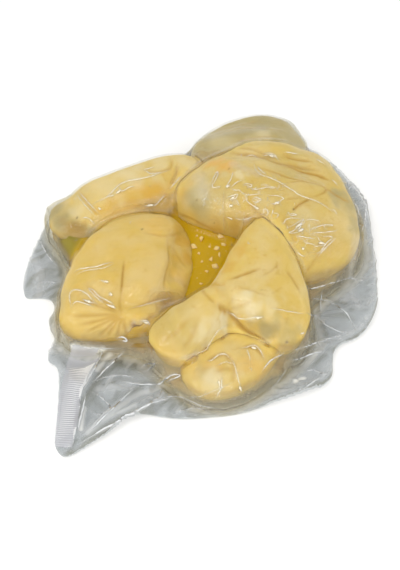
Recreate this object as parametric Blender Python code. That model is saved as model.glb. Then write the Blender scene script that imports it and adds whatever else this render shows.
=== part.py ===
"""Vacuum pack of six folded goat cheeses in yellow brine.

The pack lies on a table: +X is its right side, +Y its back and +Z is up. Every size below is
in millimetres, and plan points are measured from a point of the pool between the cheeses. The
finished pack is then moved so that the origin is the middle of its box, on the table.

The clear bag is a sheet that runs under everything and spreads into a wavy margin, with
the pleated mouth and its seal band at the front left. The brine is a shallow pool that
fills what the cheeses leave free, and the six cheeses lie in it, pressed together.
"""

import math

import bmesh
import bpy
from mathutils import Matrix, Vector

MM = 0.001

# The bag
FILM = 0.9                # the two layers of film, drawn thick enough to be a solid
GAP = 0.4                 # clearance between neighbours that touch in the real pack
MARGIN_START = 4.0        # the flat floor of the bag ends this far outside the contents' rim
MARGIN_RINGS = 7
MARGIN_STEPS = 100

# The brine
BRINE_FLOOR = FILM + GAP
BRINE_DEPTH = 21.0
BRINE_STEPS = 60
SHALLOW = 0.5             # share of its depth that the pool loses at the front, ...
SHALLOW_WAY = -1.35       # ... which is this way from the middle of the pack, in radians

# The cheeses stand on a thin film of brine
CHEESE_FLOOR = BRINE_FLOOR + 1.2 + GAP
FOOT_RINGS = 4            # rings of points between the middle of the underside and the waist
FEATURES_FROM = 0.75      # share of the dome's height at which creases and humps are in full

# Creases
CREASE_FADE = 0.15        # share of a crease's length in which each end fades
CREASE_END = 0.35         # share of its depth that is left at the very ends

# Where the contents end, found all round the pack
SECTORS = 90              # directions that are looked at
RIM_POINTS = 240          # points on the outline of each cheese

PACK_MIDDLE = (4.0, 20.0)  # every ray from here crosses the rims of contents and bag once

CHEESE_COLOUR = (0.86, 0.68, 0.36, 1.0)
BRINE_COLOUR = (0.62, 0.42, 0.03, 1.0)
FILM_COLOUR = (0.62, 0.65, 0.67, 1.0)


def smoothstep(x):
    """0 up to x = 0, 1 from x = 1, with a smooth rise between."""
    x = min(1.0, max(0.0, x))
    return x * x * (3.0 - 2.0 * x)


def closed_curve(points, steps):
    """Even samples of the smooth closed curve through the given plan points."""
    count = len(points)
    dense = []
    per_span = 16
    for i in range(count):
        a, b, c, d = (Vector(points[(i + k) % count]) for k in (-1, 0, 1, 2))
        for k in range(per_span):
            t = k / per_span
            dense.append(
                0.5 * (2 * b + (c - a) * t + (2 * a - 5 * b + 4 * c - d) * t * t
                       + (3 * b - a - 3 * c + d) * t ** 3)
            )
    lengths = [0.0]
    for i in range(len(dense)):
        lengths.append(lengths[-1] + (dense[(i + 1) % len(dense)] - dense[i]).length)
    samples, at = [], 0
    for k in range(steps):
        goal = lengths[-1] * k / steps
        while lengths[at + 1] < goal:
            at += 1
        share = (goal - lengths[at]) / (lengths[at + 1] - lengths[at])
        samples.append(dense[at].lerp(dense[(at + 1) % len(dense)], share))
    return samples


def to_segment(p, a, b):
    """Distance of p from the segment a-b, how far along it the nearest point lies (0 to 1),
    and the side: positive to the left of the way from a to b."""
    run = b - a
    share = min(1.0, max(0.0, (p - a).dot(run) / run.length_squared))
    off = p - (a + run * share)
    side = run.x * (p - a).y - run.y * (p - a).x
    return off.length, share, math.copysign(1.0, side)


class Hump:
    """A soft rise (or, with a negative height, a hollow) round one point."""

    def __init__(self, x, y, reach, height):
        self.at, self.reach, self.height = Vector((x, y)), reach, height

    def rise(self, p):
        """The height that the hump adds at the plan point p."""
        return self.height * math.exp(-((p - self.at).length / self.reach) ** 2)


class Crease:
    """A groove along a line of points, or a ridge where the depth is negative."""

    def __init__(self, points, width, depth):
        self.line, self.width, self.depth = [Vector(q) for q in points], width, depth

    def rise(self, p):
        """The height that the crease adds at the plan point p, which is negative in a groove."""
        spans = len(self.line) - 1
        best = (1e9, 0.0)
        for k in range(spans):
            far, share, _ = to_segment(p, self.line[k], self.line[k + 1])
            best = min(best, (far, (k + share) / spans))
        far, along = best
        fade = smoothstep(along / CREASE_FADE) * smoothstep((1.0 - along) / CREASE_FADE)
        strength = CREASE_END + (1.0 - CREASE_END) * fade
        return -self.depth * math.exp(-(far / self.width) ** 2) * strength


class Ledge:
    """The edge of a folded-over flap: the surface drops to the right of the line."""

    def __init__(self, points, width, drop):
        self.line, self.width, self.drop = [Vector(q) for q in points], width, drop

    def rise(self, p):
        """The height that the ledge adds at the plan point p, from 0 down to the full drop."""
        near = min((to_segment(p, a, b) for a, b in zip(self.line, self.line[1:])),
                   key=lambda found: found[0])
        return -self.drop * smoothstep(0.5 - near[0] * near[2] / self.width)


class Cheese:
    """One folded cheese: a soft slab with a plan outline, a domed top and surface features.

    The waist is the height at which it is widest. The steps are the points round it, and the
    rings are those from the waist to the middle of the top.
    """

    def __init__(self, name, outline, middle, top, waist, steps, rings, features,
                 slope=(0.0, 0.0), crown=2.7, foot=3.6):
        self.name, self.outline, self.middle = name, outline, Vector(middle)
        self.top, self.waist, self.steps, self.rings = top, waist, steps, rings
        self.features, self.slope, self.crown, self.foot = features, Vector(slope), crown, foot

    def point(self, rim, turn, grow):
        """The surface point on the way to one rim point, at a turn from -90 degrees, the
        middle of the underside, to 90 degrees, the middle of the top."""
        rising = turn > 0
        power = 2.0 / (self.crown if rising else self.foot)
        reach = abs(math.cos(turn)) ** power
        share = abs(math.sin(turn)) ** power
        out = (rim - self.middle)
        out = out * (1.0 + grow / out.length)
        p = self.middle + out * reach
        if not rising:
            return (p.x, p.y, self.waist - share * (self.waist - CHEESE_FLOOR + grow))
        z = self.waist + share * (self.top - self.waist + grow)
        lift = (p - self.middle).dot(self.slope) + sum(f.rise(p) for f in self.features)
        return (p.x, p.y, z + lift * smoothstep(share / FEATURES_FROM))

    def mesh(self, grow=0.0):
        """The closed mesh, swollen by grow for the cutters that make room for it."""
        rims = closed_curve(self.outline, self.steps)
        quarter = math.pi / 2
        turns = [quarter * (k / FOOT_RINGS - 1) for k in range(1, FOOT_RINGS)]
        turns += [quarter * k / self.rings for k in range(self.rings)]
        bm = bmesh.new()
        loops = []
        for turn in turns:
            loops.append([bm.verts.new(Vector(self.point(r, turn, grow)) * MM) for r in rims])
        low = bm.verts.new(Vector(self.point(rims[0], -math.pi / 2, grow)) * MM)
        high = bm.verts.new(Vector(self.point(rims[0], math.pi / 2, grow)) * MM)
        n = self.steps
        for i in range(n):
            bm.faces.new((low, loops[0][(i + 1) % n], loops[0][i]))
            bm.faces.new((high, loops[-1][i], loops[-1][(i + 1) % n]))
            for a, b in zip(loops, loops[1:]):
                bm.faces.new((a[i], a[(i + 1) % n], b[(i + 1) % n], b[i]))
        return finished(bm, self.name)


def finished(bm, name):
    """A mesh from bm, with its faces pointing out and shaded smooth."""
    bmesh.ops.recalc_face_normals(bm, faces=bm.faces)
    mesh = bpy.data.meshes.new(name)
    bm.to_mesh(mesh)
    bm.free()
    mesh.shade_smooth()
    return mesh


def material(name, colour, roughness, alpha=1.0):
    """A plain Principled material."""
    made = bpy.data.materials.new(name)
    made.use_nodes = True
    shader = made.node_tree.nodes["Principled BSDF"]
    shader.inputs["Base Color"].default_value = colour
    shader.inputs["Roughness"].default_value = roughness
    shader.inputs["Metallic"].default_value = 0.0
    shader.inputs["Alpha"].default_value = alpha
    return made


def place(name, mesh, look=None):
    """A new object in the scene."""
    made = bpy.data.objects.new(name, mesh)
    bpy.context.scene.collection.objects.link(made)
    if look is not None:
        made.data.materials.append(look)
    return made


def cutter(cheese):
    """A hidden, slightly swollen copy of a cheese, which its neighbours are cut with."""
    made = place("room_for_" + cheese.name, cheese.mesh(grow=GAP))
    made.hide_render = True
    made.display_type = "WIRE"
    return made


def cut(target, tool):
    """Cuts target with tool, exactly."""
    step = target.modifiers.new("cut_" + tool.name, "BOOLEAN")
    step.operation = "DIFFERENCE"
    step.solver = "EXACT"
    step.object = tool


def settle(target):
    """Applies the cuts, and drops the scraps that they leave loose beside the main body."""
    depsgraph = bpy.context.evaluated_depsgraph_get()
    bm = bmesh.new()
    bm.from_mesh(target.evaluated_get(depsgraph).to_mesh())
    target.modifiers.clear()
    loose, bodies = set(bm.verts), []
    while loose:
        body, edge = set(), {loose.pop()}
        while edge:
            vert = edge.pop()
            body.add(vert)
            edge |= {e.other_vert(vert) for e in vert.link_edges} - body
        loose -= body
        bodies.append(body)
    bodies.sort(key=len)
    bmesh.ops.delete(bm, geom=[v for body in bodies[:-1] for v in body], context="VERTS")
    bm.to_mesh(target.data)
    bm.free()


FRONT_LEFT = Cheese(
    "cheese_front_left",
    [(-108, -12), (-105, 10), (-98, 32), (-86, 52), (-66, 67), (-42, 73), (-20, 68), (-8, 50),
     (-5, 24), (-8, -4), (-16, -22), (-32, -38), (-60, -45), (-88, -46), (-104, -38)],
    middle=(-58, 10), top=43.0, waist=15.0, steps=48, rings=9, slope=(0.0, 0.03),
    features=[
        Ledge([(-28, -28), (-24, 2), (-24, 30), (-16, 56)], 10.0, 8.0),
        Crease([(-56, 20), (-57, -6), (-58, -30)], 6.0, 3.5),
        Crease([(-96, -14), (-78, -22), (-58, -28), (-37, -26), (-18, -18)], 6.0, 3.5),
        Hump(-42, -38, 9.0, 3.0),
        Hump(-88, 4, 18.0, -2.5),
    ],
)
LOG = Cheese(
    "cheese_back_left",
    [(-130, 76), (-122, 90), (-86, 110), (-42, 131), (-14, 140), (4, 134), (6, 112),
     (-14, 84), (-40, 74), (-84, 54), (-104, 48), (-122, 58)],
    middle=(-62, 94), top=44.0, waist=17.0, steps=42, rings=8, slope=(0.02, 0.1), crown=2.6,
    features=[
        Ledge([(-112, 108), (-100, 84), (-86, 60)], 26.0, 8.0),
        Hump(-56, 94, 20.0, 2.0),
    ],
)
BIG = Cheese(
    "cheese_back_right",
    [(-24, 84), (-22, 100), (-6, 118), (16, 133), (38, 144), (62, 147), (90, 142), (114, 131),
     (125, 106), (132, 76), (131, 46), (120, 24), (100, 10), (78, 5), (62, 14), (50, 32),
     (34, 48), (12, 57), (-10, 68)],
    middle=(56, 78), top=56.0, waist=19.0, steps=56, rings=11, slope=(-0.03, 0.03),
    features=[
        Crease([(24, 117), (57, 113), (84, 102), (108, 90)], 7.0, 5.0),
        Crease([(74, 98), (99, 86), (121, 60)], 7.0, 3.0),
        Crease([(20, 106), (19, 80), (18, 60)], 7.0, 2.5),
        Crease([(66, 40), (79, 56), (90, 70)], 7.0, 3.0),
        Hump(60, 132, 28.0, 6.0),
        Hump(106, 40, 24.0, -6.0),
        Hump(-6, 92, 18.0, -4.0),
    ],
)
BACK = Cheese(
    "cheese_back",
    [(-9, 144), (-4, 162), (12, 180), (44, 194), (64, 197), (84, 188), (96, 168), (99, 148),
     (90, 124), (50, 112), (8, 122)],
    middle=(48, 153), top=50.0, waist=18.0, steps=34, rings=7, slope=(0.0, -0.03), crown=2.3,
    features=[
        Crease([(4, 162), (40, 168), (86, 160)], 7.0, 2.5),
        Hump(20, 168, 18.0, -3.0),
    ],
)
WEDGE = Cheese(
    "cheese_front_right",
    [(52, 56), (67, 40), (77, 12), (82, -16), (81, -40), (70, -58), (50, -58), (24, -47),
     (8, -57), (-12, -71), (-27, -68), (-38, -52), (-30, -38), (-8, -25), (4, -16),
     (18, 10), (38, 46)],
    middle=(30, -24), top=48.0, waist=27.0, steps=56, rings=9, slope=(0.04, 0.14), crown=2.5,
    features=[
        Crease([(16, -34), (24, -42), (39, -51), (53, -60)], 6.5, 9.0),
        Crease([(18, -38), (14, -48), (14, -60)], 6.5, 3.5),
        Hump(42, -34, 12.0, 3.0),
        Crease([(22, -17), (42, -6), (58, 0)], 6.0, 2.0),
    ],
)
FRONT = Cheese(
    "cheese_front",
    [(62, -50), (50, -72), (30, -89), (9, -94), (-8, -87), (-14, -70), (-6, -46),
     (24, -34), (54, -36)],
    middle=(24, -64), top=27.0, waist=11.0, steps=32, rings=7, crown=2.3,
    features=[
        Crease([(2, -90), (14, -80), (22, -66)], 6.0, 2.5),
        Crease([(44, -82), (38, -72), (32, -60)], 6.0, 2.5),
    ],
)

# Each cheese with the neighbours that it gives way to
GIVES_WAY = [
    (FRONT, []),
    (WEDGE, [FRONT]),
    (FRONT_LEFT, [WEDGE, FRONT]),
    (BIG, [WEDGE, FRONT_LEFT]),
    (LOG, [FRONT_LEFT, BIG]),
    (BACK, [BIG, LOG]),
]
CHEESES = [cheese for cheese, _ in GIVES_WAY]

# The rim of the bag, seen from above: back edge, left flap, wavy left side, mouth with the
# seal band, front margin, right side
BAG_RIM = [
    (-60, 150), (-104, 128), (-131, 98), (-140, 62), (-145, 28), (-141, 4), (-124, 3),
    (-116, -6), (-119, -22), (-112, -38), (-116, -54), (-106, -64), (-102, -92),
    (-100, -122), (-97, -130), (-89, -132), (-69, -119), (-46, -102), (-12, -104),
    (28, -100), (58, -90), (80, -82), (96, -73), (103, -46), (124, -34), (140, -8),
    (146, 30), (149, 74), (149, 104), (143, 128), (126, 158), (104, 186), (64, 210),
    (26, 208), (-8, 184), (-28, 162),
]


def way_from_middle(angle):
    """The direction at an angle from +X, one unit long."""
    return Vector((math.cos(angle), math.sin(angle)))


def contents_reach():
    """How far the cheeses reach from the middle of the pack, as a function of the angle."""
    middle = Vector(PACK_MIDDLE)
    far = [0.0] * SECTORS
    for cheese in CHEESES:
        for p in closed_curve(cheese.outline, RIM_POINTS):
            out = p - middle
            k = int((math.atan2(out.y, out.x) / math.tau) % 1.0 * SECTORS)
            far[k] = max(far[k], out.length)
    soft = 2  # sectors to either side that a sector's reach is averaged over
    window = range(-soft, soft + 1)
    smooth = [sum(far[(k + j) % SECTORS] for j in window) / len(window) for k in range(SECTORS)]

    def reach(angle):
        at = (angle / math.tau) % 1.0 * SECTORS - 0.5
        k = math.floor(at)
        share = at - k
        return smooth[k % SECTORS] * (1 - share) + smooth[(k + 1) % SECTORS] * share

    return reach


# Ridges and pleats of the film in the margin, and how much the rim itself lifts
PLEATS = [
    Crease([(-106, -62), (-92, -76), (-84, -88)], 6.0, -4.0),
    Crease([(-84, -84), (-72, -64), (-56, -50)], 6.0, -7.0),
    Crease([(-88, -120), (-84, -86)], 6.0, -4.0),
    Crease([(-88, -122), (-60, -104), (-32, -92), (-10, -84)], 6.0, -7.0),
    Crease([(-80, -84), (-56, -76), (-30, -72)], 6.0, -5.0),
    Crease([(64, -66), (84, -54), (100, -44)], 6.0, -5.0),
    Crease([(40, -96), (72, -84), (98, -72)], 6.0, -3.0),
    Crease([(96, -20), (122, -12), (146, -4)], 7.0, -4.0),
    Crease([(126, 30), (138, 60), (146, 96)], 7.0, -5.0),
    Crease([(-112, 40), (-126, 32), (-142, 22)], 7.0, -5.0),
    Crease([(100, 140), (118, 148), (130, 152)], 7.0, -6.0),
]
PLEATS_FROM = 0.3         # share of the way out to the rim at which the pleats are in full
RIM_WAVES = 11
RIM_UNEVEN = 1.1          # how far, in radians, the waves stray from an even spacing, ...
UNEVEN_TURNS = 3          # ... this many times round the rim
RIM_LIFT = 2.6
RIGHT_LIFT = 3.5          # the right side stands this much higher


def margin_lift(p, share):
    """Height of the margin's underside over the table, share of the way out to the rim."""
    angle = math.atan2(p.y - PACK_MIDDLE[1], p.x - PACK_MIDDLE[0])
    stray = RIM_UNEVEN * math.sin(UNEVEN_TURNS * angle)
    wave = 0.5 + 0.5 * math.sin(RIM_WAVES * angle + stray)
    lift = share * share * (RIM_LIFT * wave + RIGHT_LIFT * max(0.0, math.cos(angle)))
    pleat = sum(c.rise(p) for c in PLEATS) * smoothstep(share / PLEATS_FROM)
    return max(0.0, lift + pleat)


def bag_mesh():
    """The bag: a sheet with a flat floor under the contents and a wavy, pleated margin."""
    middle = Vector(PACK_MIDDLE)
    reach = contents_reach()
    rims = closed_curve(BAG_RIM, MARGIN_STEPS)
    bm = bmesh.new()
    under, over = [], []
    for k in range(MARGIN_RINGS):
        share = k / (MARGIN_RINGS - 1)
        low, high = [], []
        for rim in rims:
            out = rim - middle
            angle = math.atan2(out.y, out.x)
            start = middle + out.normalized() * (reach(angle) + MARGIN_START)
            p = start.lerp(rim, share)
            z = margin_lift(p, share)
            low.append(bm.verts.new(Vector((p.x, p.y, z)) * MM))
            high.append(bm.verts.new(Vector((p.x, p.y, z + FILM)) * MM))
        under.append(low)
        over.append(high)
    n = MARGIN_STEPS
    bm.faces.new(reversed(under[0]))
    bm.faces.new(over[0])
    for i in range(n):
        j = (i + 1) % n
        for a, b in zip(over, over[1:]):
            bm.faces.new((a[i], b[i], b[j], a[j]))
        for a, b in zip(under, under[1:]):
            bm.faces.new((a[i], a[j], b[j], b[i]))
        bm.faces.new((under[-1][i], under[-1][j], over[-1][j], over[-1][i]))
    return finished(bm, "bag")


# The pool of brine, as rings from its floor to its surface: the share of the way to the
# contents' rim, how far out of that each ring lies, and its height
POOL = [
    (1.0, 1.0, BRINE_FLOOR), (1.0, 2.5, 5.0), (1.0, 1.5, 11.0), (1.0, -2.0, 17.0),
    (1.0, -9.0, BRINE_DEPTH), (0.55, 0.0, BRINE_DEPTH),
]


def pool_height(height, angle, share):
    """The height of a ring's point, lower where the pool is shallow."""
    shallow = SHALLOW * max(0.0, math.cos(angle - SHALLOW_WAY)) ** 4
    if share < 1.0:
        return height
    return BRINE_FLOOR + (height - BRINE_FLOOR) * (1.0 - shallow)


def brine_mesh():
    """The pool before the cheeses are cut out of it."""
    middle = Vector(PACK_MIDDLE)
    reach = contents_reach()
    bm = bmesh.new()
    loops = []
    for share, out, height in POOL:
        loop = []
        for k in range(BRINE_STEPS):
            angle = math.tau * k / BRINE_STEPS
            p = middle + way_from_middle(angle) * (reach(angle) * share + out)
            z = pool_height(height, angle, share)
            loop.append(bm.verts.new(Vector((p.x, p.y, z)) * MM))
        loops.append(loop)
    bm.faces.new(reversed(loops[0]))
    bm.faces.new(loops[-1])
    n = BRINE_STEPS
    for a, b in zip(loops, loops[1:]):
        for i in range(n):
            j = (i + 1) % n
            bm.faces.new((a[i], a[j], b[j], b[i]))
    return finished(bm, "brine")


def centre_on_box(solids):
    """Moves all solids so that the origin is the middle of their box, on the table."""
    points = [v.co for solid in solids for v in solid.data.vertices]
    middle = [(min(p[k] for p in points) + max(p[k] for p in points)) / 2 for k in (0, 1)]
    for solid in solids:
        solid.data.transform(Matrix.Translation((-middle[0], -middle[1], 0.0)))


def main():
    """Builds the pack in an empty scene."""
    for old in list(bpy.data.objects):
        bpy.data.objects.remove(old)
    cheese_look = material("goat_cheese", CHEESE_COLOUR, roughness=0.45)
    brine_look = material("brine", BRINE_COLOUR, roughness=0.1, alpha=0.7)
    film_look = material("clear_film", FILM_COLOUR, roughness=0.15, alpha=0.4)

    rooms = {cheese.name: cutter(cheese) for cheese in CHEESES}
    solids = []
    for cheese, neighbours in GIVES_WAY:
        body = place(cheese.name, cheese.mesh(), cheese_look)
        for other in neighbours:
            cut(body, rooms[other.name])
        settle(body)
        solids.append(body)

    pool = place("brine", brine_mesh(), brine_look)
    for cheese in CHEESES:
        cut(pool, rooms[cheese.name])
    settle(pool)
    bag = place("bag", bag_mesh(), film_look)

    for room in rooms.values():
        bpy.data.objects.remove(room)
    centre_on_box(solids + [pool, bag])


main()
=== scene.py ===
"""A clear vacuum pack of brined goat cheeses, dressed as in the photograph.

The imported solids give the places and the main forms. Here each cheese becomes a finely
creased, moist body, the brine a yellow pool with crumbs floating in it, and the bag two thin
layers of film: drawn tight over the cheeses by the vacuum, spread round them in a crumpled
margin, and welded at the mouth in a ribbed seal band.

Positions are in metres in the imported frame, unless a name ends in _mm or _px. Pixels are those
of the 400 x 570 photograph: a crease or a ridge is drawn where the photograph shows it, and the
photograph's view carries it down onto the surface it lies on.
"""

import logging
import math
from dataclasses import dataclass, field
from enum import Enum
from typing import ClassVar

import bpy
import numpy as np
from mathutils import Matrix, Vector
from mathutils.bvhtree import BVHTree


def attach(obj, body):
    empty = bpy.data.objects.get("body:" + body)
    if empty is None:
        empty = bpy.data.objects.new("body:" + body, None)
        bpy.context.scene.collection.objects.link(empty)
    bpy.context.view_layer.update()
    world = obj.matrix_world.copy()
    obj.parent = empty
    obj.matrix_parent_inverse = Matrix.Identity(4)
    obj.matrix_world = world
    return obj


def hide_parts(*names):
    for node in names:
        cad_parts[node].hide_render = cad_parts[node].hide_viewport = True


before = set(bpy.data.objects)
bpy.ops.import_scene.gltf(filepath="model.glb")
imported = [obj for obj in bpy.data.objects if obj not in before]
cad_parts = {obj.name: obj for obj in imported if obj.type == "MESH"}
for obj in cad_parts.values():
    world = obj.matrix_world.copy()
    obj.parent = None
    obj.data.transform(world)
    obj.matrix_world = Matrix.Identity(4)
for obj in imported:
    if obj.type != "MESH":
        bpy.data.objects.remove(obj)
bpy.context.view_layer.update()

MM = 0.001
log = logging.getLogger("vacuum_pack")

Pixel = tuple[float, float]


# ---------------------------------------------------------------------------------------------
# Small tools


def linear(hex_colour: str, alpha: float = 1.0) -> tuple[float, float, float, float]:
    """Turns an sRGB hex colour into a linear one.

    Args:
        hex_colour: six hex digits, red first.
        alpha: the fourth number of the result.

    Returns:
        The linear colour that a shader socket takes.
    """
    parts = [int(hex_colour[k:k + 2], 16) / 255 for k in (0, 2, 4)]
    low = [c / 12.92 if c <= 0.04045 else ((c + 0.055) / 1.055) ** 2.4 for c in parts]
    return (low[0], low[1], low[2], alpha)


def smoothstep(x: np.ndarray) -> np.ndarray:
    """0 up to x = 0, 1 from x = 1, with a smooth rise between."""
    x = np.clip(x, 0.0, 1.0)
    return x * x * (3.0 - 2.0 * x)


def wave_noise(points: np.ndarray, size: float, seed: int, waves: int = 14) -> np.ndarray:
    """Smooth noise made of plane waves that run in random directions.

    Args:
        points: positions, one in each row, in two or three dimensions.
        size: the length of the waves, in the unit of the points.
        seed: chooses the directions and the phases.
        waves: how many waves are added up.

    Returns:
        One number for each point, mostly between -1.5 and 1.5.
    """
    draw = np.random.default_rng(seed)
    ways = draw.normal(size=(waves, points.shape[1]))
    ways /= np.linalg.norm(ways, axis=1)[:, None]
    ways *= math.tau / size * draw.uniform(0.7, 1.4, size=(waves, 1))
    phases = draw.uniform(0.0, math.tau, size=waves)
    total = np.zeros(len(points))
    for way, phase in zip(ways, phases):
        total += np.sin(points @ way + phase)
    return total / math.sqrt(waves / 2)


def distance_to_line(points: np.ndarray, line: np.ndarray) -> tuple[np.ndarray, np.ndarray]:
    """How far points lie from an open line, and how far along it their nearest points are.

    Args:
        points: positions, one in each row.
        line: the line's corners, one in each row.

    Returns:
        The distances, and the shares of the line's length, from 0 to 1.
    """
    spans = np.diff(line, axis=0)
    lengths = np.linalg.norm(spans, axis=1)
    starts = np.concatenate([[0.0], np.cumsum(lengths)])
    best = np.full(len(points), np.inf)
    along = np.zeros(len(points))
    for k, (span, length) in enumerate(zip(spans, lengths)):
        share = np.clip((points - line[k]) @ span / max(length, 1e-12) ** 2, 0.0, 1.0)
        far = np.linalg.norm(points - line[k] - share[:, None] * span, axis=1)
        nearer = far < best
        best = np.where(nearer, far, best)
        along = np.where(nearer, (starts[k] + share * length) / starts[-1], along)
    return best, along


def smooth_line(points: list, per_span: int = 6) -> np.ndarray:
    """A smooth open curve through the given points.

    Args:
        points: the points that it passes, in two or three dimensions.
        per_span: how many points it has between two of them.

    Returns:
        The curve's points, one in each row.
    """
    given = [np.asarray(p, float) for p in points]
    ends = [2 * given[0] - given[1]] + given + [2 * given[-1] - given[-2]]
    curve = []
    for k in range(len(given) - 1):
        a, b, c, d = ends[k:k + 4]
        for t in np.arange(per_span) / per_span:
            curve.append(0.5 * (2 * b + (c - a) * t + (2 * a - 5 * b + 4 * c - d) * t * t
                                + (3 * b - a - 3 * c + d) * t ** 3))
    curve.append(given[-1])
    return np.array(curve)


def new_object(name: str, points: np.ndarray, faces: list) -> bpy.types.Object:
    """A new smooth-shaded mesh object in the scene.

    Args:
        name: the piece's name.
        points: the vertices, one in each row.
        faces: a list of corner lists.

    Returns:
        The object.
    """
    mesh = bpy.data.meshes.new(name)
    mesh.from_pydata([tuple(p) for p in points], [], faces)
    mesh.shade_smooth()
    made = bpy.data.objects.new(name, mesh)
    bpy.context.scene.collection.objects.link(made)
    return made


def vertices_of(mesh: bpy.types.Mesh) -> np.ndarray:
    """The mesh's vertices as an array, one in each row."""
    flat = np.empty(len(mesh.vertices) * 3)
    mesh.vertices.foreach_get("co", flat)
    return flat.reshape(-1, 3)


def normals_of(mesh: bpy.types.Mesh) -> np.ndarray:
    """The mesh's vertex normals as an array, one in each row."""
    flat = np.empty(len(mesh.vertices) * 3)
    mesh.vertex_normals.foreach_get("vector", flat)
    return flat.reshape(-1, 3)


def paint(piece: bpy.types.Object, name: str, values: np.ndarray) -> None:
    """Stores one number for each vertex, which materials read as an attribute.

    Args:
        piece: the object that gets them.
        name: the attribute's name.
        values: the numbers.
    """
    layer = piece.data.attributes.new(name, "FLOAT", "POINT")
    layer.data.foreach_set("value", np.asarray(values, float))


def tree_of(pieces: list) -> BVHTree:
    """One search tree over the faces of several objects that sit at the origin."""
    points, faces = [], []
    for piece in pieces:
        first = len(points)
        points += [tuple(p) for p in vertices_of(piece.data)]
        faces += [[first + i for i in face.vertices] for face in piece.data.polygons]
    return BVHTree.FromPolygons(points, faces)


# ---------------------------------------------------------------------------------------------
# The photograph's view


@dataclass(frozen=True)
class PhotoView:
    """The camera of the photograph: it looks down at the pack from the front.

    Attributes:
        elevation: angle above the horizon, in degrees.
        distance: from the aim to the camera.
        pixel: width of one pixel at the aim.
        aim: the point that the aim pixel shows.
        aim_px: where the photograph shows the aim.
        size_px: the photograph's width and height.
        sensor_mm: the camera's sensor along the photograph's long side.
    """

    elevation: float = 52.0
    distance: float = 520 * MM
    pixel: float = 0.78 * MM
    aim: tuple[float, float, float] = (-2.27 * MM, -39.66 * MM, 22 * MM)
    aim_px: Pixel = (200.0, 285.0)
    size_px: tuple[int, int] = (400, 570)
    sensor_mm: float = 36.0

    @property
    def back(self) -> np.ndarray:
        """The direction from the aim to the camera."""
        tilt = math.radians(self.elevation)
        return np.array([0.0, -math.cos(tilt), math.sin(tilt)])

    @property
    def eye(self) -> np.ndarray:
        """The camera's place."""
        return np.array(self.aim) + self.back * self.distance

    def ray(self, pixel: Pixel) -> np.ndarray:
        """The direction in which the camera sees a pixel."""
        focal = self.distance / self.pixel
        right = np.array([1.0, 0.0, 0.0])
        up = np.cross(right, -self.back)
        across, down = pixel[0] - self.aim_px[0], pixel[1] - self.aim_px[1]
        way = -self.back + right * (across / focal) - up * (down / focal)
        return way / np.linalg.norm(way)

    def hit(self, pixel: Pixel, tree: BVHTree) -> np.ndarray | None:
        """The first point of a tree's faces that a pixel shows, or None."""
        found = tree.ray_cast(Vector(self.eye), Vector(self.ray(pixel)))[0]
        return None if found is None else np.array(found)

    def on_level(self, pixel: Pixel, height: float) -> np.ndarray:
        """The point at a height above the table that a pixel shows."""
        way = self.ray(pixel)
        return self.eye + way * ((height - self.eye[2]) / way[2])

    def line(self, pixels: list[Pixel], tree: BVHTree) -> np.ndarray:
        """Carries a curve through pixels down onto a tree's faces, leaving out what misses."""
        curve = smooth_line(pixels, 5)
        found = [self.hit((float(u), float(v)), tree) for u, v in curve]
        return np.array([p for p in found if p is not None])

    def place(self) -> bpy.types.Object:
        """Makes the scene's camera."""
        camera = bpy.data.objects.new("camera", bpy.data.cameras.new("camera"))
        bpy.context.scene.collection.objects.link(camera)
        camera.location = self.eye
        camera.rotation_euler = (math.radians(90 - self.elevation), 0.0, 0.0)
        long_side = max(self.size_px)
        camera.data.sensor_width = self.sensor_mm
        camera.data.lens = self.sensor_mm * self.distance / self.pixel / long_side
        camera.data.clip_start = 0.01
        bpy.context.scene.camera = camera
        return camera


# ---------------------------------------------------------------------------------------------
# Materials


def node(tree: bpy.types.NodeTree, kind: str, settings: dict | None = None,
         links: dict | None = None) -> bpy.types.Node:
    """Adds a node with its settings and its incoming links.

    Args:
        tree: the material's or the world's node tree.
        kind: the node's type, such as "ShaderNodeMix".
        settings: values by property name, or by input socket name or number.
        links: output sockets by the input socket's name or number.

    Returns:
        The node.
    """
    made = tree.nodes.new(kind)
    for key, value in (settings or {}).items():
        if isinstance(key, str) and hasattr(made, key):
            setattr(made, key, value)
        else:
            made.inputs[key].default_value = value
    for key, source in (links or {}).items():
        tree.links.new(source, made.inputs[key])
    return made


def empty_material(name: str) -> tuple[bpy.types.Material, bpy.types.NodeTree]:
    """A new material without nodes, and its node tree."""
    made = bpy.data.materials.new(name)
    made.use_nodes = True
    made.node_tree.nodes.clear()
    return made, made.node_tree


def colour_mix(tree: bpy.types.NodeTree, share, first, second) -> bpy.types.NodeSocket:
    """Mixes two colours by a share, each given as a socket or as a value.

    Args:
        tree: the node tree.
        share: how much of the second colour shows, from 0 to 1.
        first: the first colour.
        second: the second colour.

    Returns:
        The socket that gives the mixed colour.
    """
    given = {0: share, 6: first, 7: second}
    links = {k: v for k, v in given.items() if isinstance(v, bpy.types.NodeSocket)}
    values = {k: v for k, v in given.items() if k not in links}
    return node(tree, "ShaderNodeMix", {"data_type": "RGBA", **values}, links).outputs[2]


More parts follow.
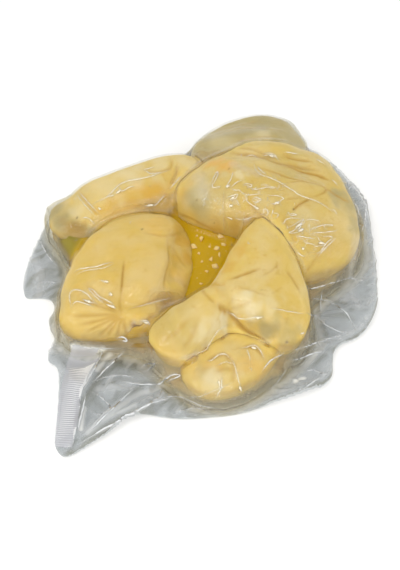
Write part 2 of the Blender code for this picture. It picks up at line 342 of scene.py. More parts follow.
@dataclass(frozen=True)
class BrinedCurd:
    """Fresh goat's curd that was pressed, folded and brined: a smooth, moist, springy cheese.

    It is nearly matt under a thin moist sheen, light goes a little way into it, and its colour
    runs from pale cream to a deeper butter yellow in the folds. Its pale and white patches are
    partly painted highlight, its folds and its olive and dark patches partly painted shade, and
    the golden yellow beside the other cheeses partly painted light over the shade of the clefts.

    Attributes:
        kinds: the attributes that raise the colours after the main one, in their order.
        butter: the main colour.
        rich: deeper yellow, where the brine has seeped in.
        soaked: moist golden curd, lighter than the main colour, deep in the clefts and
            beside the pool: partly brine soaking in, partly painted light over the clefts' shade.
        cream: pale curd in slow random blotches, and the pale patches, which are partly painted
            highlight on lit tops.
        fold: the deeper colour in the creases, partly painted shade.
        olive: where brine and shade tint it.
        white: whitish patches: pale curd, and painted highlight where the film over it shines.
        speck: dark specks of rind, and wide faint patches of painted shade.
        orange: spots of richer yellow.
        blotch_mm: size of the slow changes of colour.
        streak_mm: size of the streaks between the pressed layers.
        seam_mm: spacing of the hair-fine seams where the curd was folded onto itself.
        grain_mm: size of the curd's grain.
    """

    kinds: ClassVar[tuple[str, ...]] = ("pale", "rich", "soaked", "orange", "olive", "white",
                                        "fold", "speck")
    butter: str = "d3b764"
    rich: str = "d0a94c"
    soaked: str = "e3c669"
    cream: str = "d7c082"
    fold: str = "bb9440"
    olive: str = "a69a70"
    white: str = "ded1aa"
    speck: str = "5a3e1c"
    orange: str = "dfb058"
    blotch_mm: float = 26.0
    streak_mm: float = 9.0
    seam_mm: float = 19.0
    grain_mm: float = 2.2

    def build(self) -> bpy.types.Material:
        """Makes the material."""
        made, tree = empty_material("brined_goat_curd")
        place = node(tree, "ShaderNodeTexCoord").outputs["Object"]
        blotches = node(tree, "ShaderNodeTexNoise",
                        {"Scale": 1 / (self.blotch_mm * MM), "Detail": 3.0}, {"Vector": place})
        streaks = node(tree, "ShaderNodeTexNoise",
                       {"Scale": 1 / (self.streak_mm * MM), "Detail": 5.0, "Distortion": 1.5},
                       {"Vector": place})
        seams = node(tree, "ShaderNodeTexNoise",
                     {"Scale": 1 / (self.seam_mm * MM), "Detail": 1.0, "Distortion": 1.2},
                     {"Vector": place})
        off = node(tree, "ShaderNodeMath", {"operation": "SUBTRACT", 1: 0.5},
                   {0: seams.outputs[0]})
        far = node(tree, "ShaderNodeMath", {"operation": "ABSOLUTE"}, {0: off.outputs[0]})
        seam = node(tree, "ShaderNodeMapRange", {1: 0.0, 2: 0.022, 3: 1.0, 4: 0.0},
                    {0: far.outputs[0]}).outputs[0]
        kept = node(tree, "ShaderNodeMapRange", {1: 0.47, 2: 0.6, 4: 0.4},
                    {0: streaks.outputs[0]}).outputs[0]
        seam = node(tree, "ShaderNodeMath", {"operation": "MULTIPLY"},
                    {0: seam, 1: kept}).outputs[0]
        grain = node(tree, "ShaderNodeTexNoise",
                     {"Scale": 1 / (self.grain_mm * MM), "Detail": 2.0}, {"Vector": place})
        paleness = node(tree, "ShaderNodeMapRange", {1: 0.42, 2: 0.66},
                        {0: blotches.outputs[0]}).outputs[0]
        colour = colour_mix(tree, paleness, linear(self.butter), linear(self.cream))
        warm = node(tree, "ShaderNodeMapRange", {1: 0.52, 2: 0.76, 4: 0.25},
                    {0: streaks.outputs[0]}).outputs[0]
        colour = colour_mix(tree, warm, colour, linear(self.rich))
        colour = colour_mix(tree, seam, colour, linear(self.fold))
        tints = (self.cream, self.rich, self.soaked, self.orange, self.olive, self.white,
                 self.fold, self.speck)
        for name, tint in zip(self.kinds, tints):
            share = node(tree, "ShaderNodeAttribute", {"attribute_name": name}).outputs["Fac"]
            colour = colour_mix(tree, share, colour, linear(tint))
        bump = node(tree, "ShaderNodeBump", {"Strength": 0.25, "Distance": 0.3 * MM},
                    {"Height": grain.outputs[0]})
        sheen = node(tree, "ShaderNodeMapRange", {1: 0.3, 2: 0.7, 3: 0.5, 4: 0.65},
                     {0: streaks.outputs[0]}).outputs[0]
        surface = node(
            tree, "ShaderNodeBsdfPrincipled",
            {"IOR": 1.42, "Specular IOR Level": 0.15, "Subsurface Weight": 0.5,
             "Subsurface Scale": 0.008, "Subsurface Radius": (1.0, 0.85, 0.55)},
            {"Base Color": colour, "Roughness": sheen, "Normal": bump.outputs[0]},
        )
        node(tree, "ShaderNodeOutputMaterial", {}, {0: surface.outputs[0]})
        return made


@dataclass(frozen=True)
class CloudyBrine:
    """Whey-clouded salt brine, tinted deep yellow by the cheese: clear where it is thin, and
    nearly solid yellow where it is deep.

    Attributes:
        thin: the colour of a thin layer.
        deep: the colour of the pool's middle.
        shaded: the colour under the overhang of a cheese.
        cleft: the colour between two cheeses, which shine through it from both sides: partly the
        brine's colour, partly painted light over the cleft's shade.
    """

    thin: str = "dab23a"
    deep: str = "c6a000"
    shaded: str = "938530"
    cleft: str = "c4a03c"

    def build(self) -> bpy.types.Material:
        """Makes the material."""
        made, tree = empty_material("cloudy_yellow_brine")
        depth = node(tree, "ShaderNodeAttribute", {"attribute_name": "depth"}).outputs["Fac"]
        colour = colour_mix(tree, depth, linear(self.thin), linear(self.deep))
        shade = node(tree, "ShaderNodeAttribute", {"attribute_name": "shade"}).outputs["Fac"]
        colour = colour_mix(tree, shade, colour, linear(self.shaded))
        # Painted light: the cleft colour, opaque where the cleft is full, covers the shade
        # between two cheeses.
        cleft = node(tree, "ShaderNodeAttribute", {"attribute_name": "cleft"}).outputs["Fac"]
        colour = colour_mix(tree, cleft, colour, linear(self.cleft))
        cover = node(tree, "ShaderNodeMapRange", {1: 0.0, 2: 1.0, 3: 0.12, 4: 0.96},
                     {0: depth}).outputs[0]
        cover = node(tree, "ShaderNodeMath", {"operation": "MAXIMUM"},
                     {0: cover, 1: cleft}).outputs[0]
        surface = node(tree, "ShaderNodeBsdfPrincipled",
                       {"IOR": 1.34, "Roughness": 0.3, "Specular IOR Level": 0.05},
                       {"Base Color": colour, "Alpha": cover})
        node(tree, "ShaderNodeOutputMaterial", {}, {0: surface.outputs[0]})
        return made


@dataclass(frozen=True)
class CurdCrumb:
    """Crumbs of the same curd, washed pale by the brine."""

    tone: str = "e0c682"

    def build(self) -> bpy.types.Material:
        """Makes the material."""
        made, tree = empty_material("washed_curd_crumb")
        surface = node(tree, "ShaderNodeBsdfPrincipled",
                       {"Base Color": linear(self.tone), "Roughness": 0.5,
                        "Subsurface Weight": 0.2, "Subsurface Scale": 0.002})
        node(tree, "ShaderNodeOutputMaterial", {}, {0: surface.outputs[0]})
        return made


@dataclass(frozen=True)
class BarrierFilm:
    """Clear polyamide and polyethylene vacuum film, 90 micrometres thick: glossy, faintly
    milky, greyer where two loose layers lie on each other, and white along hard creases.
    That white, on its creases, its finest wrinkles and its bright facets, is partly stress
    whitening and partly painted highlight.

    Attributes:
        name: the material's name.
        tight: tint of what is seen through it where it clings to the cheese.
        loose: the same in the margin.
        damp: the same where brine has crept between the layers.
        turned: the same on facets that slope away from the light and on other dark facets:
            painted
        shade.
        haze: colour of its milky bloom.
        stressed_and_highlight: the same where it was creased hard, on its finest wrinkles and on
        bright facets: partly stress whitening, partly painted highlight.
        bloom_tight: share of bloom where it clings.
        bloom_loose: share of bloom in the margin.
        bloom_crest: share of bloom on a hard crease, partly painted highlight.
        bloom_glint: share of bloom on the finest wrinkles, which is painted glint.
        crinkle_mm: spacing of its finest wrinkles.
        roughness: how soft its reflections are.
        bloom_damp: share of bloom where brine has crept between the layers, and where the film
        hangs off the contents: partly the damp film's haze, partly painted light over the shade
        there.
        brine: colour of brine held under it between two cheeses, partly painted light over the
            shade of their cleft.
        bloom_brine: how much of what lies below that brine hides.
        most_mirror: the most that it reflects at a glancing angle, since brine behind it lets
            more light through than air would.
    """

    name: str = "barrier_film"
    tight: str = "fefefc"
    loose: str = "e8eaeb"
    damp: str = "e8dba6"
    turned: str = "b4b3a4"
    haze: str = "d5d8db"
    stressed_and_highlight: str = "fffdf4"
    bloom_tight: float = 0.006
    bloom_loose: float = 0.13
    bloom_crest: float = 0.8
    bloom_glint: float = 0.25
    crinkle_mm: float = 7.0
    roughness: float = 0.10
    bloom_damp: float = 0.3
    brine: str = "c8a244"
    bloom_brine: float = 0.8
    most_mirror: float = 0.16

    def build(self) -> bpy.types.Material:
        """Makes the material."""
        made, tree = empty_material(self.name)
        place = node(tree, "ShaderNodeTexCoord").outputs["Object"]
        slack, crest, crinkle, damp, cloud, brim, dim = (
            node(tree, "ShaderNodeAttribute", {"attribute_name": name}).outputs["Fac"]
            for name in ("slack", "crest", "crinkle", "damp", "cloud", "brim", "dim"))
        # Painted glints: thin white lines along a noise's contours, which also bump the film,
        # where it is crinkled.
        loops = node(tree, "ShaderNodeTexNoise",
                     {"Scale": 1 / (self.crinkle_mm * MM), "Detail": 1.0, "Distortion": 0.7},
                     {"Vector": place}).outputs[0]
        off = node(tree, "ShaderNodeMath", {"operation": "SUBTRACT", 1: 0.5}, {0: loops})
        far = node(tree, "ShaderNodeMath", {"operation": "ABSOLUTE"}, {0: off.outputs[0]})
        line = node(tree, "ShaderNodeMapRange", {1: 0.0, 2: 0.07, 3: 1.0, 4: 0.0},
                    {0: far.outputs[0]}).outputs[0]
        broken = node(tree, "ShaderNodeTexNoise", {"Scale": 1 / (9 * MM), "Detail": 0.0},
                      {"Vector": place}).outputs[0]
        kept = node(tree, "ShaderNodeMapRange", {1: 0.46, 2: 0.54}, {0: broken}).outputs[0]
        wrinkles = node(tree, "ShaderNodeMath", {"operation": "MULTIPLY"}, {0: line, 1: kept})
        marked = node(tree, "ShaderNodeMath", {"operation": "MULTIPLY"},
                      {0: wrinkles.outputs[0], 1: crinkle}).outputs[0]
        waves = node(tree, "ShaderNodeTexNoise",
                     {"Scale": 1 / (2.2 * self.crinkle_mm * MM), "Detail": 2.0,
                      "Distortion": 0.5}, {"Vector": place})
        fine = node(tree, "ShaderNodeBump", {"Strength": 0.6, "Distance": 0.4 * MM},
                    {"Height": marked})
        bump = node(tree, "ShaderNodeBump", {"Strength": 0.15, "Distance": 0.8 * MM},
                    {"Height": waves.outputs[0], "Normal": fine.outputs[0]}).outputs[0]
        tint = colour_mix(tree, slack, linear(self.tight), linear(self.loose))
        tint = colour_mix(tree, damp, tint, linear(self.damp))
        # Painted shade: facets that slope away from the light are tinted darker.
        tint = colour_mix(tree, dim, tint, linear(self.turned))
        clear = node(tree, "ShaderNodeBsdfTransparent", {}, {"Color": tint})
        # The white of creases, fine wrinkles and bright facets: partly stress whitening, partly
        # painted highlight.
        line_share = node(tree, "ShaderNodeMath", {"operation": "ADD", "use_clamp": True},
                          {0: crest, 1: marked}).outputs[0]
        white_share = node(tree, "ShaderNodeMath", {"operation": "MAXIMUM"},
                           {0: line_share, 1: cloud}).outputs[0]
        haze = colour_mix(tree, damp, linear(self.haze), linear(self.damp))
        haze = colour_mix(tree, brim, haze, linear(self.brine))
        haze = colour_mix(tree, white_share, haze, linear(self.stressed_and_highlight))
        bloom = node(tree, "ShaderNodeBsdfDiffuse", {}, {"Color": haze, "Normal": bump})
        milky = node(tree, "ShaderNodeMapRange", {3: self.bloom_tight, 4: self.bloom_loose},
                     {0: slack}).outputs[0]
        white = node(tree, "ShaderNodeMath", {"operation": "MULTIPLY", 1: self.bloom_crest},
                     {0: crest}).outputs[0]
        glint = node(tree, "ShaderNodeMath", {"operation": "MULTIPLY", 1: self.bloom_glint},
                     {0: marked}).outputs[0]
        # Damp bloom, partly painted light over the shade near the contents.
        wet_and_lit = node(tree, "ShaderNodeMath", {"operation": "MULTIPLY", 1: self.bloom_damp},
                   {0: damp}).outputs[0]
        # Brine colour over the clefts, partly painted light over their shade.
        trapped_brine_and_light = node(tree, "ShaderNodeMath", {"operation": "MULTIPLY", 1: self.bloom_brine},
                       {0: brim}).outputs[0]
        for more in (white, glint, cloud, wet_and_lit, trapped_brine_and_light):
            milky = node(tree, "ShaderNodeMath", {"operation": "ADD", "use_clamp": True},
                         {0: milky, 1: more}).outputs[0]
        body = node(tree, "ShaderNodeMixShader", {}, {0: milky, 1: clear.outputs[0],
                                                      2: bloom.outputs[0]})
        gloss = node(tree, "ShaderNodeBsdfGlossy", {"Roughness": self.roughness},
                     {"Normal": bump})
        fresnel = node(tree, "ShaderNodeFresnel", {"IOR": 1.3}, {"Normal": bump})
        mirror = node(tree, "ShaderNodeMath", {"operation": "MINIMUM", 1: self.most_mirror},
                      {0: fresnel.outputs[0]})
        surface = node(tree, "ShaderNodeMixShader", {}, {0: mirror.outputs[0],
                                                         1: body.outputs[0],
                                                         2: gloss.outputs[0]})
        node(tree, "ShaderNodeOutputMaterial", {}, {0: surface.outputs[0]})
        return made


@dataclass(frozen=True)
class PinchedFilm:
    """Barrier film pinched into a hair-fine standing fold: the sharp bend whitens it, and its
    round back glints. Its white is partly that whitening and partly painted glint.

    Attributes:
        tone: colour of the whitened bend and painted glint over the cheese.
        cool: the same in the margin.
        roughness: how soft its glints are.
    """

    tone: str = "fff7dc"
    cool: str = "f4f7fa"
    roughness: float = 0.18

    def build(self) -> bpy.types.Material:
        """Makes the material."""
        made, tree = empty_material("pinched_film")
        # The white share: whitening at the bend and painted glint.
        share = node(tree, "ShaderNodeAttribute", {"attribute_name": "stress"}).outputs["Fac"]
        clear = node(tree, "ShaderNodeBsdfTransparent", {"Color": linear("ffffff")})
        cool = node(tree, "ShaderNodeAttribute", {"attribute_name": "cool"}).outputs["Fac"]
        tone = colour_mix(tree, cool, linear(self.tone), linear(self.cool))
        bloom = node(tree, "ShaderNodeBsdfDiffuse", {}, {"Color": tone})
        body = node(tree, "ShaderNodeMixShader", {}, {0: share, 1: clear.outputs[0],
                                                      2: bloom.outputs[0]})
        gloss = node(tree, "ShaderNodeBsdfGlossy", {"Roughness": self.roughness})
        mirror = node(tree, "ShaderNodeFresnel", {"IOR": 1.35})
        surface = node(tree, "ShaderNodeMixShader", {}, {0: mirror.outputs[0],
                                                         1: body.outputs[0],
                                                         2: gloss.outputs[0]})
        node(tree, "ShaderNodeOutputMaterial", {}, {0: surface.outputs[0]})
        return made


@dataclass(frozen=True)
class WeldedFilm:
    """The two layers of film melted into one another between ribbed jaws: milky white on the
    ribs, clearer in the grooves."""

    clear: str = "e6e8ea"
    haze: str = "eceaf0"

    def build(self) -> bpy.types.Material:
        """Makes the material."""
        made, tree = empty_material("welded_film")
        rib = node(tree, "ShaderNodeAttribute", {"attribute_name": "rib"}).outputs["Fac"]
        share = node(tree, "ShaderNodeMapRange", {3: 0.26, 4: 0.44}, {0: rib}).outputs[0]
        clear = node(tree, "ShaderNodeBsdfTransparent", {"Color": linear(self.clear)})
        bloom = node(tree, "ShaderNodeBsdfDiffuse", {"Color": linear(self.haze)})
        body = node(tree, "ShaderNodeMixShader", {}, {0: share, 1: clear.outputs[0],
                                                      2: bloom.outputs[0]})
        gloss = node(tree, "ShaderNodeBsdfGlossy", {"Roughness": 0.35})
        mirror = node(tree, "ShaderNodeFresnel", {"IOR": 1.4})
        surface = node(tree, "ShaderNodeMixShader", {}, {0: mirror.outputs[0],
                                                         1: body.outputs[0],
                                                         2: gloss.outputs[0]})
        node(tree, "ShaderNodeOutputMaterial", {}, {0: surface.outputs[0]})
        return made


@dataclass(frozen=True)
class PlainPaper:
    """Matt pale backdrop paper."""

    tone: str = "fbfbfa"

    def build(self) -> bpy.types.Material:
        """Makes the material."""
        made, tree = empty_material("backdrop_paper")
        surface = node(tree, "ShaderNodeBsdfPrincipled",
                       {"Base Color": linear(self.tone), "Roughness": 0.9})
        node(tree, "ShaderNodeOutputMaterial", {}, {0: surface.outputs[0]})
        return made


# ---------------------------------------------------------------------------------------------
# The cheeses


class Relief(Enum):
    """What a line does to the surface that it lies on."""

    GROOVE = -1.0
    RIDGE = 1.0


@dataclass(frozen=True)
class Fold:
    """A crease or a welt of a cheese, drawn where the photograph shows it.

    Attributes:
        pixels: the line's points in the photograph.
        width: how wide it is from its middle to where it fades.
        depth: how far it goes into the cheese, or stands out of it.
        relief: groove or ridge.
        tint: how strongly its colour deepens, partly as painted shade.
    """

    pixels: list[Pixel]
    width: float = 1.8 * MM
    depth: float = 1.2 * MM
    relief: Relief = Relief.GROOVE
    tint: float = 0.7


@dataclass(frozen=True)
class Patch:
    """A patch of another colour on a cheese.

    Attributes:
        pixel: its middle in the photograph.
        reach: its radius.
        kind: what it raises, one of the kinds of BrinedCurd.
        strength: its share of that colour in its middle.
    """

    pixel: Pixel
    reach: float
    kind: str
    strength: float = 0.8


@dataclass
class Cheese:
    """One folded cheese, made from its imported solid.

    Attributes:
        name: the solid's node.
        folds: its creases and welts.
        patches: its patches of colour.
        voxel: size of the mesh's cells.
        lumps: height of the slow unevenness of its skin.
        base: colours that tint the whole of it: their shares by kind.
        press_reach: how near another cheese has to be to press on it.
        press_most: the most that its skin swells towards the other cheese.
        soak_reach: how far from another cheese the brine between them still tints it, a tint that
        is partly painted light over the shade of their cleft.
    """

    name: str
    folds: list[Fold] = field(default_factory=list)
    patches: list[Patch] = field(default_factory=list)
    voxel: float = 1.0 * MM
    lumps: float = 0.28 * MM
    base: dict[str, float] = field(default_factory=dict)
    press_reach: float = 5.5 * MM
    press_most: float = 2.2 * MM
    soak_reach: float = 12 * MM

    def smooth_body(self) -> bpy.types.Object:
        """A fine, rounded copy of the solid, without its facets."""
        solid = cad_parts[self.name]
        rough = bpy.data.objects.new(self.name + "_curd", solid.data.copy())
        bpy.context.scene.collection.objects.link(rough)
        cells = rough.modifiers.new("cells", "REMESH")
        cells.mode = "VOXEL"
        cells.voxel_size = self.voxel
        rounding = rough.modifiers.new("rounding", "SMOOTH")
        rounding.factor = 0.5
        rounding.iterations = 26
        bpy.context.view_layer.update()
        done = rough.evaluated_get(bpy.context.evaluated_depsgraph_get())
        mesh = bpy.data.meshes.new_from_object(done)
        mesh.name = rough.name
        rough.modifiers.clear()
        rough.data = mesh
        rough.data.materials.clear()
        mesh.shade_smooth()
        return rough

    def pressed(self, points: np.ndarray,
                normals: np.ndarray) -> tuple[np.ndarray, np.ndarray]:
        """What the vacuum does to the skin by pressing it on the cheeses beside it.

        Args:
            points: the skin's vertices.
            normals: their outward directions.

        Returns:
            How far each vertex swells, and how near the other cheese is, from 0 to 1.
        """
        others = tree_of([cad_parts[c.name] for c in CHEESES if c.name != self.name])
        ways = np.zeros(points.shape)
        gaps = np.full(len(points), self.soak_reach)
        for k, point in enumerate(points):
            spot, _, _, gap = others.find_nearest(Vector(point), self.soak_reach)
            if spot is not None:
                ways[k], gaps[k] = np.array(spot) - point, gap
        facing = np.clip((ways * normals).sum(axis=1) / np.maximum(gaps, 1e-6), 0, 1)
        fade = smoothstep((self.press_reach - gaps) / (0.5 * self.press_reach))
        swelling = np.minimum(0.55 * gaps, self.press_most) * smoothstep(1.5 * facing) * fade
        return swelling, smoothstep(1 - gaps / self.soak_reach)

    def build(self, view: PhotoView, look: bpy.types.Material) -> bpy.types.Object:
        """Makes the cheese, creases it and colours it.

        Args:
            view: the photograph's view, which places folds and patches.
            look: its material.

        Returns:
            The piece.
        """
        piece = self.smooth_body()
        mesh = piece.data
        points, normals = vertices_of(mesh), normals_of(mesh)
        tree = tree_of([piece])
        shift, soaked = self.pressed(points, normals)
        tints = {kind: np.full(len(points), self.base.get(kind, 0.0))
                 for kind in BrinedCurd.kinds}
        # Golden tint near the other cheeses: partly brine soaking in, partly painted light over
        # the shade of the clefts.
        tints["soaked"] = np.maximum(tints["soaked"], 0.9 * soaked)
        seed = sum(ord(c) for c in self.name)
        shift += self.lumps * wave_noise(points, 22 * MM, seed)
        shift += 0.25 * self.lumps * wave_noise(points, 7 * MM, seed + 1)
        for fold in self.folds:
            line = view.line(fold.pixels, tree)
            if len(line) < 2:
                log.warning("a fold of %s misses it", self.name)
                continue
            far, along = distance_to_line(points, line)
            ends = smoothstep(along / 0.2) * smoothstep((1.0 - along) / 0.2)
            shape = np.exp(-(far / fold.width) ** 2) * (0.25 + 0.75 * ends)
            shift += fold.relief.value * fold.depth * shape
            # The crease's deeper colour, partly painted shade.
            wide = np.exp(-(far / (1.2 * fold.width)) ** 2) * (0.3 + 0.7 * ends)
            tints["fold"] = np.maximum(tints["fold"], fold.tint * wide)
        for patch in self.patches:
            middle = view.hit(patch.pixel, tree)
            if middle is None:
                log.warning("a patch of %s misses it", self.name)
                continue
            far = np.linalg.norm(points - middle, axis=1)
            ragged = far + 0.18 * patch.reach * wave_noise(points, patch.reach, seed + 7)
            share = patch.strength * smoothstep((1.1 * patch.reach - ragged) / patch.reach)
            tints[patch.kind] = np.maximum(tints[patch.kind], share)
        points += normals * shift[:, None]
        mesh.vertices.foreach_set("co", points.ravel())
        mesh.update()
        for kind, values in tints.items():
            paint(piece, kind, values)
        mesh.materials.append(look)
        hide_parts(self.name)
        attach(piece, "root")
        log.info("%s: %d faces", piece.name, len(mesh.polygons))
        return piece


